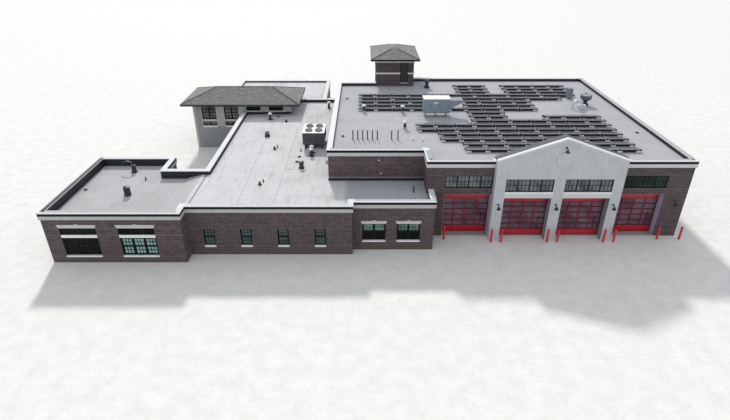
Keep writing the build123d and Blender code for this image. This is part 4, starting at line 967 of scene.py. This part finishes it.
# Solar panels: their frames, dark gaps between them, folds of the wind plates, trays under the blocks
SOLAR_ROWS = [
    [(6, 7), (9, 12)], [(6, 7), (9, 12)], [(6, 7), (9, 12)], [(0, 12)], [(0, 11)],
    [(0, 3), (6, 9)], [(0, 3), (6, 9)], [(0, 3), (5, 9)], [(6, 7)], [(6, 7), (10, 12)],
    [(6, 12)], [(3, 12)], [(3, 12)], [(4, 12)], [(4, 12)], [(5, 12)], [(5, 12)],
]
SLIP, GAP, PANEL_DEEP = 0.035, 0.1, 1.0
PANEL_HIGH, PANEL_LOW = HIGH_DECK + 0.38, HIGH_DECK + 0.16
frames = Piece("panel_frames", "rack_metal", "silver")
# The wind plates carry painted shade: near black for the shadowed row fronts
plates = Piece("wind_plate_folds", "rack_metal", "rack_shade", 0.003)
trays = Piece("ballast_trays", "rack_metal", "rack", 0.003)


def slip(front, x0, x1, y0, y1, up, look=None):
    """A thin slip on the tilted top of the row with this front, y0 to y1 behind it."""
    z0, z1 = (PANEL_HIGH + (PANEL_LOW - PANEL_HIGH) * y + up for y in (y0, y1))
    y0, y1 = front + y0, front + y1
    frames.slab([(x0, y0, z0), (x1, y0, z0), (x1, y1, z1), (x0, y1, z1)], 0.012, look)


for row, stretches in enumerate(SOLAR_ROWS):
    front = SOLAR_BACK - row * SOLAR_PITCH_Y
    for first, last in stretches:
        start = SOLAR_LEFT + first * SOLAR_PITCH
        for k in range(last - first + 1):
            x0 = start + k * SOLAR_PITCH
            x1 = x0 + SOLAR_PITCH - GAP
            slip(front, x0, x1, 0.0, SLIP, 0.01)
            slip(front, x0, x1, PANEL_DEEP - SLIP, PANEL_DEEP, 0.01)
            for left in (x0, x1 - SLIP):
                slip(front, left, left + SLIP, SLIP, PANEL_DEEP - SLIP, 0.01)
            if k < last - first:
                slip(front, x1, x1 + GAP, 0.06, PANEL_DEEP - 0.06, 0.004, "rubber")
            plates.box(x0 + 0.06, x1 - 0.06, front - 0.006, front, 7.36, 7.5)
            plates.box(x0 + 0.01, x1 - 0.01, front - 0.01, front, 7.57, 7.665, "lip")
            for left in (x0 + 0.1, x1 - 0.13):
                plates.box(left, left + 0.03, front - 0.016, front, HIGH_DECK, 7.6, "lip")
            plates.box(x1 - 0.02, x1 + 0.12, front - 0.004, front, HIGH_DECK, 7.6)
        end = start + (last - first + 1) * SOLAR_PITCH - GAP
        trays.box(start, end, front - 0.045, front, HIGH_DECK, 7.315)
        for k in range(last - first + 2):
            middle = min(max(start + k * SOLAR_PITCH - GAP / 2, start + 0.21), end - 0.21)
            trays.box(middle - 0.25, middle + 0.25, front - 0.24, front, HIGH_DECK, 7.312)
            trays.box(middle - 0.03, middle + 0.03, front - 0.26, front - 0.24, HIGH_DECK, 7.36)
frames.done()
plates.done()
trays.done()


# Roof units
def louvres(piece, wall, u0, u1, z0, z1, count):
    """A framed bank of blades."""
    wall.ring(piece, u0, u1, z0, z1, 0.04, -0.02, 0.0)
    step = (z1 - z0 - 0.08) / count
    for i in range(count):
        foot = z0 + 0.04 + i * step
        wall.box(piece, u0 + 0.04, u1 - 0.04, foot, foot + step * 0.55, -0.012, 0.0)


unit = Piece("high_unit_dress", "unit_metal", "unit", 0.005)
front_wall = Wall("y", 12.9, -1)
for u0, u1 in ((6.36, 7.28), (7.28, 8.24), (8.24, 9.2)):
    front_wall.ring(unit, u0 + 0.02, u1 - 0.02, 7.95, 9.26, 0.03, -0.012, 0.0)
    front_wall.box(unit, (u0 + u1) / 2 + 0.28, (u0 + u1) / 2 + 0.33, 8.5, 8.68, -0.05, 0.0, "rubber")
front_wall.box(unit, 7.5, 7.9, 8.86, 9.0, -0.014, 0.0, "unit_white")
unit.box(6.31, 9.25, 12.85, 14.25, 9.36, 9.375, "unit_white")
unit.box(6.31, 9.25, 12.845, 12.85, 9.28, 9.36, "unit_white")
louvres(unit, Wall("x", 6.36, -1), 13.1, 14.0, 8.1, 9.1, 8)
unit.box(6.3, 9.26, 12.86, 12.98, 7.84, 7.9, "zinc")
for i in range(6):
    unit.box(9.28 + i * 0.22, 9.31 + i * 0.22, 12.97, 14.13, 9.175, 9.2)
unit.done()

# The low unit: coil fins, lid, and a guard, blades and a hub for each of its four fans
cooler = Piece("low_unit_dress", "unit_metal", "unit_dark", 0.004)
COOLER_LEFT, COOLER_RIGHT, FINS = -6.72, -4.38, 38
low_front = Wall("y", 10.68, -1)
for i in range(FINS):
    x = COOLER_LEFT + 0.14 + i * (COOLER_RIGHT - COOLER_LEFT - 0.28) / (FINS - 1)
    low_front.box(cooler, x - 0.008, x + 0.008, 5.22, 6.18, 0.02, 0.05)
low_front.ring(cooler, COOLER_LEFT, COOLER_RIGHT, 5.1, 6.3, 0.1, -0.012, 0.0, "unit_dim")
low_front.box(cooler, -5.6, -5.5, 5.2, 6.2, -0.012, 0.0, "unit_dim")
cooler.box(-6.74, -4.36, 10.66, 13.62, 6.3, 6.312, "unit_white")
BLADE = ((0.06, -0.05, 6.34), (0.33, -0.11, 6.33), (0.33, 0.11, 6.39), (0.06, 0.05, 6.38))
for x, y in ((-6.08, 11.46), (-6.08, 12.82), (-5.02, 11.46), (-5.02, 12.82)):
    for radius in (0.1, 0.19, 0.28, 0.35):
        guard = [(x + radius * a, y + radius * b, 6.42) for a, b in circle(24)]
        cooler.tube(guard + guard[:1], 0.007, 4, "zinc")
    for a, b in circle(8):
        cooler.tube([(x, y, 6.425), (x + 0.36 * a, y + 0.36 * b, 6.425)], 0.007, 4, "zinc")
    for a, b in circle(5):
        blade = [(x + u * a - v * b, y + u * b + v * a, z) for u, v, z in BLADE]
        cooler.slab(blade, 0.01, "vent")
    cooler.lathe(x, y, ((0.07, 0.0), (0.07, 0.08), (0.04, 0.1)), 12, "vent", z=6.32)
for wall in (Wall("x", COOLER_LEFT, -1), Wall("x", COOLER_RIGHT, 1)):
    louvres(cooler, wall, 10.9, 13.4, 5.25, 6.15, 9)
cooler.done()

# Vents: flashings at the foot, storm collars and pale tops
flash = Piece("vent_flashings", "vent_metal", "vent_top", smooth=True)
DRUM = (-21.73, 0.41, WEST_DECK)
BOOT = (0.34, 0.0), (0.34, 0.012), (0.2, 0.03), (0.155, 0.16), (0.155, 0.2)
CAP = (0.26, 0.0), (0.27, 0.06), (0.24, 0.14), (0.1, 0.2), (0.02, 0.215)
CAPPED = (
    (-11.79, 20.43, LOW_DECK), (-5.63, 8.68, LOW_DECK), (-5.63, 9.5, LOW_DECK), (-4.77, 25.09, LOW_DECK),
    (-0.11, 14.78, HIGH_DECK), (4.21, 14.5, HIGH_DECK), (4.12, 9.18, HIGH_DECK),
)
for x, y, deck in (*CAPPED, DRUM):
    boot = "membrane_high" if deck == HIGH_DECK else "vent"
    flash.lathe(x, y, BOOT, 20, boot, z=deck)
    flash.lathe(x, y, ((0.17, 0.0), (0.19, 0.03), (0.16, 0.06)), 16, "vent", z=deck + 0.3)
for x, y, deck in CAPPED:
    flash.lathe(x, y, CAP, 20, z=deck + 0.68)
for x, y, foot, profile in (
    (-6.34, 5.58, LOW_DECK,
     ((0.32, 0.0), (0.27, 0.1), (0.22, 0.12), (0.22, 0.52), (0.28, 0.56), (0.28, 0.68), (0.1, 0.76))),
    (DRUM[0], DRUM[1], WEST_DECK + 0.02,
     ((0.24, 0.0), (0.3, 0.02), (0.3, 0.5), (0.27, 0.62), (0.31, 0.66), (0.31, 0.8), (0.1, 0.88))),
    (-23.08, 5.5, WEST_DECK, ((0.36, 0.0), (0.36, 0.012), (0.27, 0.05), (0.235, 0.16), (0.235, 0.2))),
):
    flash.lathe(x, y, profile, 20, "vent", z=foot)
for x, y in ((-9.71, 19.56), (-9.78, 10.58), (-9.84, 1.75), (-6.34, 5.58)):
    boot = ((0.22, 0.0), (0.22, 0.012), (0.13, 0.05), (0.11, 0.14), (0.11, 0.18))
    flash.lathe(x, y, boot, 16, "vent", z=LOW_DECK)
for i in range(8):
    x = -1.19 + 0.48 * i if i < 6 else 2.61 + 0.62 * (i - 6)
    boot = ((0.13, 0.0), (0.13, 0.01), (0.08, 0.05), (0.065, 0.13), (0.065, 0.16))
    flash.lathe(x, 6.17, boot, 14, "zinc", z=HIGH_DECK)
    flash.lathe(x, 6.17, ((0.05, 0.0), (0.062, 0.005), (0.062, 0.06), (0.03, 0.075)), 12, "zinc", z=8.245)
flash.box(-11.46, -10.94, 14.24, 14.76, LOW_DECK, LOW_DECK + 0.1, "vent")
flash.box(-11.45, -10.95, 14.25, 14.75, 4.94, 5.0)
for x, y, bowl in ((7.98, 24.75, 0.34), (25.7, 17.35, 0.62)):
    rim = [(bowl + out, up) for out, up in (
        (0.01, 0.78), (0.025, 0.85), (0.025, 1.17), (0.01, 1.2), (-0.03, 1.21), (-0.06, 1.18))]
    flash.lathe(x, y, rim, 24, "unit_deep", z=HIGH_DECK)
    flash.lathe(x, y, ((bowl - 0.1, 1.2), (bowl - 0.16, 1.215), (0.02, 1.22)), 24, "unit", z=HIGH_DECK)
    flash.box(x - 0.33, x + 0.33, y - 0.33, y + 0.33, HIGH_DECK, 7.36, "rubber")
flash.done()

# Lamps: a round back plate, a bent arm and a spun shade with a pale inside
lamps = Piece("barn_lamps", "lamp_black", "lamp", smooth=True)
SHADE = (
    (0.045, 0.3), (0.06, 0.27), (0.065, 0.2), (0.09, 0.165), (0.15, 0.1), (0.185, 0.03),
    (0.19, 0.0), (0.18, 0.0), (0.14, 0.08), (0.07, 0.14), (0.05, 0.16),
)
BULB = (0.03, 0.15), (0.055, 0.11), (0.06, 0.08), (0.035, 0.045)
for x, y, z in (
    (12.0, GABLE_FRONT, 3.4), (PORTAL_MIDDLE, GABLE_FRONT, 3.4), (22.36, GABLE_FRONT, 3.4),
    (28.3, DOOR_FRONT, 3.4), (PORTAL_MIDDLE, GABLE_FRONT, 8.88),
):
    top = z + 0.32
    lamps.lathe(x, y, ((0.1, 0.0), (0.1, 0.02), (0.085, 0.035), (0.03, 0.045)), 20, axis="y", z=top)
    bend = [(x, y - 0.19 + 0.14 * a, top - 0.02 + 0.02 * b) for a, b in circle(16)[:9]]
    lamps.tube([(x, y - 0.03, top), *bend, (x, y - 0.35, top - 0.03), (x, y - 0.35, z + 0.24)], 0.018)
    lamps.lathe(x, y - 0.35, SHADE, 22, z=z)
    lamps.lathe(x, y - 0.35, BULB, 14, "pale_vent", z=z)
lamps.done("wall_lamps")

# Guard posts: a base collar, a plain red sleeve and a domed head
posts = Piece("guard_posts", "post_red", "post", smooth=True)
BESIDE = 0.16
BAY_EDGES = [(c - BAY_HALF, c + BAY_HALF) for c in BAYS]
POSTS = [(x, -0.6) for x in (BAY_EDGES[0][0], BAY_EDGES[3][1], HIGH_RIGHT)]
POSTS += [(x, -1.13) for x in (PORTAL_LEFT, *BAY_EDGES[1], *BAY_EDGES[2], PORTAL_RIGHT)]
POST = (
    (0.109, 0.0), (0.109, 0.025), (0.1, 0.035), (0.1, 1.2), (0.108, 1.205),
    (0.108, 1.255), (0.1, 1.27), (0.088, 1.31), (0.06, 1.338), (0.02, 1.349),
)
for x, y in POSTS:
    posts.lathe(x + BESIDE, y, POST, 24)
posts.done("bollards")

# Tower: door frame, panels, handle and threshold
tower = Piece("tower_dress", "black_frame", "frame", 0.005)
tower_front.ring(tower, 4.55, 5.55, 7.75, 10.3, 0.05, 0.05, 0.12)
for foot, head in ((7.95, 8.65), (8.8, 9.5), (9.62, 10.15)):
    tower_front.ring(tower, 4.7, 5.4, foot, head, 0.035, 0.105, 0.12, "dark_door")
tower_front.box(tower, 5.3, 5.34, 8.7, 8.78, 0.06, 0.12, "zinc")
tower_front.box(tower, 4.5, 5.6, 7.69, 7.75, -0.06, 0.12, "casing")
tower.done()

# Hip roofs: courses of shingles, ridge caps and gutters
shingle = Piece("shingle_courses", "shingle", "shingle")
gutters = Piece("eave_gutters", "black_line", "casing", 0.006)
COURSE, CAP_WIDE, CAP_PITCH = 0.3, 0.16, 0.3


def ridge_run(start, end, limit):
    """Overlapping caps along a hip or ridge, none above the limit."""
    a, b = Vector(start), Vector(end)
    along = (b - a).normalized()
    side = along.cross(Vector((0, 0, 1))).normalized() * CAP_WIDE
    up = side.cross(along).normalized()
    for i in range(int((b - a).length / CAP_PITCH)):
        foot = a + along * CAP_PITCH * i
        head = foot + along * CAP_PITCH * 1.25
        if head.z + 0.03 > limit:
            break
        rings = []
        for centre, rise in ((foot, 0.03), (head, 0.012)):
            over = [centre + side * i + up * (rise - 0.055 * abs(i)) for i in (-1, 0, 1)]
            rings.append(over + [p - up * 0.02 for p in reversed(over)])
        shingle.rings(rings, "cap_shingle")


def roof_courses(x0, x1, y0, y1, eave, ridge, limit):
    """Shingle courses, slightly raised, up the four slopes of a hip roof, none above the limit."""
    run, rise = min(x1 - x0, y1 - y0) / 2, ridge - eave
    count = int(math.hypot(run, rise) / COURSE)
    for k in range(count):
        rows = []
        for share, lift in ((k / count, 0.018), ((k + 1) / count, 0.004)):
            a, z = run * share, eave + rise * share
            plan = (x0 + a, y0 + a), (x1 - a, y0 + a), (x1 - a, y1 - a), (x0 + a, y1 - a)
            rows.append([[(x, y, z + lift) for x, y in plan], [(x, y, z) for x, y in plan]])
        (low, base), (high, top) = rows
        if top[0][2] > limit:
            break
        for p, q in ((0, 1), (1, 2), (2, 3), (3, 0)):
            points = [low[p], low[q], high[q], high[p], base[p], base[q]]
            shingle.add(points, [[0, 1, 2, 3], [4, 5, 1, 0]])


NO_LIMIT, TOWER_LIMIT = 99.0, 11.755
for x0, x1, y0, y1, eave, out, fascia, rise, trim, limit in (
    (HALL_LEFT, HALL_RIGHT, HALL_FRONT, HALL_BACK, HALL_EAVE, 1.15, 0.25, 1.25, "casing", NO_LIMIT),
    (TOWER_LEFT, TOWER_RIGHT, TOWER_FRONT, TOWER_BACK, TOWER_EAVE, 0.7, 0.2, 0.95, "black", TOWER_LIMIT),
):
    x0, x1, y0, y1 = x0 - out, x1 + out, y0 - out, y1 + out
    top = eave + fascia
    peak = top + rise
    roof_courses(x0, x1, y0, y1, top, peak, limit)
    run = min(x1 - x0, y1 - y0) / 2
    near, far = (x0 + run, y0 + run), (x1 - run, y1 - run)
    left_back, right_front = (near, far) if x1 - x0 > y1 - y0 else (far, near)
    for x, y, end in ((x0, y0, near), (x0, y1, left_back), (x1, y0, right_front), (x1, y1, far)):
        ridge_run((x, y, top + 0.02), (*end, peak + 0.02), limit)
    ridge_run((*near, peak + 0.015), (*far, peak + 0.015), limit)
    for axis, plane, side, u0, u1, metal in (
        ("y", y0, -1, x0, x1, trim), ("y", y1, 1, x0, x1, trim),
        ("x", x0, -1, y0, y1, "edge"), ("x", x1, 1, y0, y1, "edge"),
    ):
        wall = Wall(axis, plane, side)
        wall.box(gutters, u0, u1, eave + 0.01, top - 0.03, 0.0, 0.004, metal)
        wall.box(gutters, u0, u1, top - 0.02, top + 0.012, 0.0, 0.06, metal)
shingle.done()
gutters.done()

ridge_vents = Piece("ridge_vents", "vent_metal", "vent", 0.01)
for i in range(4):
    x = -17.6 + i * 0.62
    ridge_vents.box(x - 0.13, x + 0.13, 24.45, 24.75, 6.9, 7.12)
ridge_vents.done()

# Entrance on the hidden side of the hall: pulls and rails of its two leaves
entrance = Piece("entrance_dress", "black_frame", "frame", 0.005)
middle = (HALL_FRONT + HALL_BACK) / 2
for u in (middle - 0.14, middle + 0.1):
    pull = [(HALL_LEFT + x, u, z) for x, z in ((0.07, 0.85), (0.02, 0.9), (0.02, 1.35), (0.07, 1.4))]
    entrance.tube(pull, 0.016, 8, "silver")
for left in (middle - 1.2, middle):
    for foot, head in ((0.07, 0.3), (2.15, 2.2)):
        hall_left.box(entrance, left + 0.07, left + 1.13, foot, head, 0.105, 0.12)
entrance.done()

# Bevelled edges on the solids that catch light, in metres of the model
for width, names in {
    0.008: "portal_coping",
    0.006: "low_copings high_copings stone_trim ballast_blocks roof_unit_high roof_unit_low medallion",
    0.005: "low_cornice high_cornice",
    0.003: "bay_door_1 bay_door_2 bay_door_3 bay_door_4",
}.items():
    for node in names.split():
        add_bevel(nodes[node], width)

# Stage, light and camera, in the frame of the model
scene = bpy.context.scene
REACH, FLOOR = 260.0, -0.004
ground = bpy.data.meshes.new("stage_floor")
corners = (-1, -1), (1, -1), (1, 1), (-1, 1)
ground.from_pydata([(x * REACH, y * REACH, FLOOR) for x, y in corners], [], [(0, 1, 2, 3)])
ground.materials.append(looks["floor"])
stage = bpy.data.objects.new("stage_floor", ground)
scene.collection.objects.link(stage)

world = bpy.data.worlds.new("studio")
scene.world = world
world.use_nodes = True
background = world.node_tree.nodes["Background"]
background.inputs["Color"].default_value = (0.93, 0.965, 1.0, 1.0)
background.inputs["Strength"].default_value = 0.72

key = bpy.data.lights.new("key", "SUN")
key.energy = 2.5
key.angle = math.radians(5)
key.color = (1.0, 0.97, 0.92)
key_obj = bpy.data.objects.new("key", key)
key_obj.rotation_euler = Vector((0.28, -1.25, -1.0)).to_track_quat("-Z", "Y").to_euler()
scene.collection.objects.link(key_obj)

PITCH_DOWN = 28.55
camera = bpy.data.cameras.new("camera")
camera.lens = 25.93
camera.sensor_width = 36.0
camera.clip_end = 1000.0
camera_obj = bpy.data.objects.new("camera", camera)
camera_obj.location = (-0.57, -29.615, 12.967)
camera_obj.rotation_euler = (math.radians(90 - PITCH_DOWN), 0.0, 0.0)
scene.collection.objects.link(camera_obj)
scene.camera = camera_obj
scene.view_settings.view_transform = "Standard"
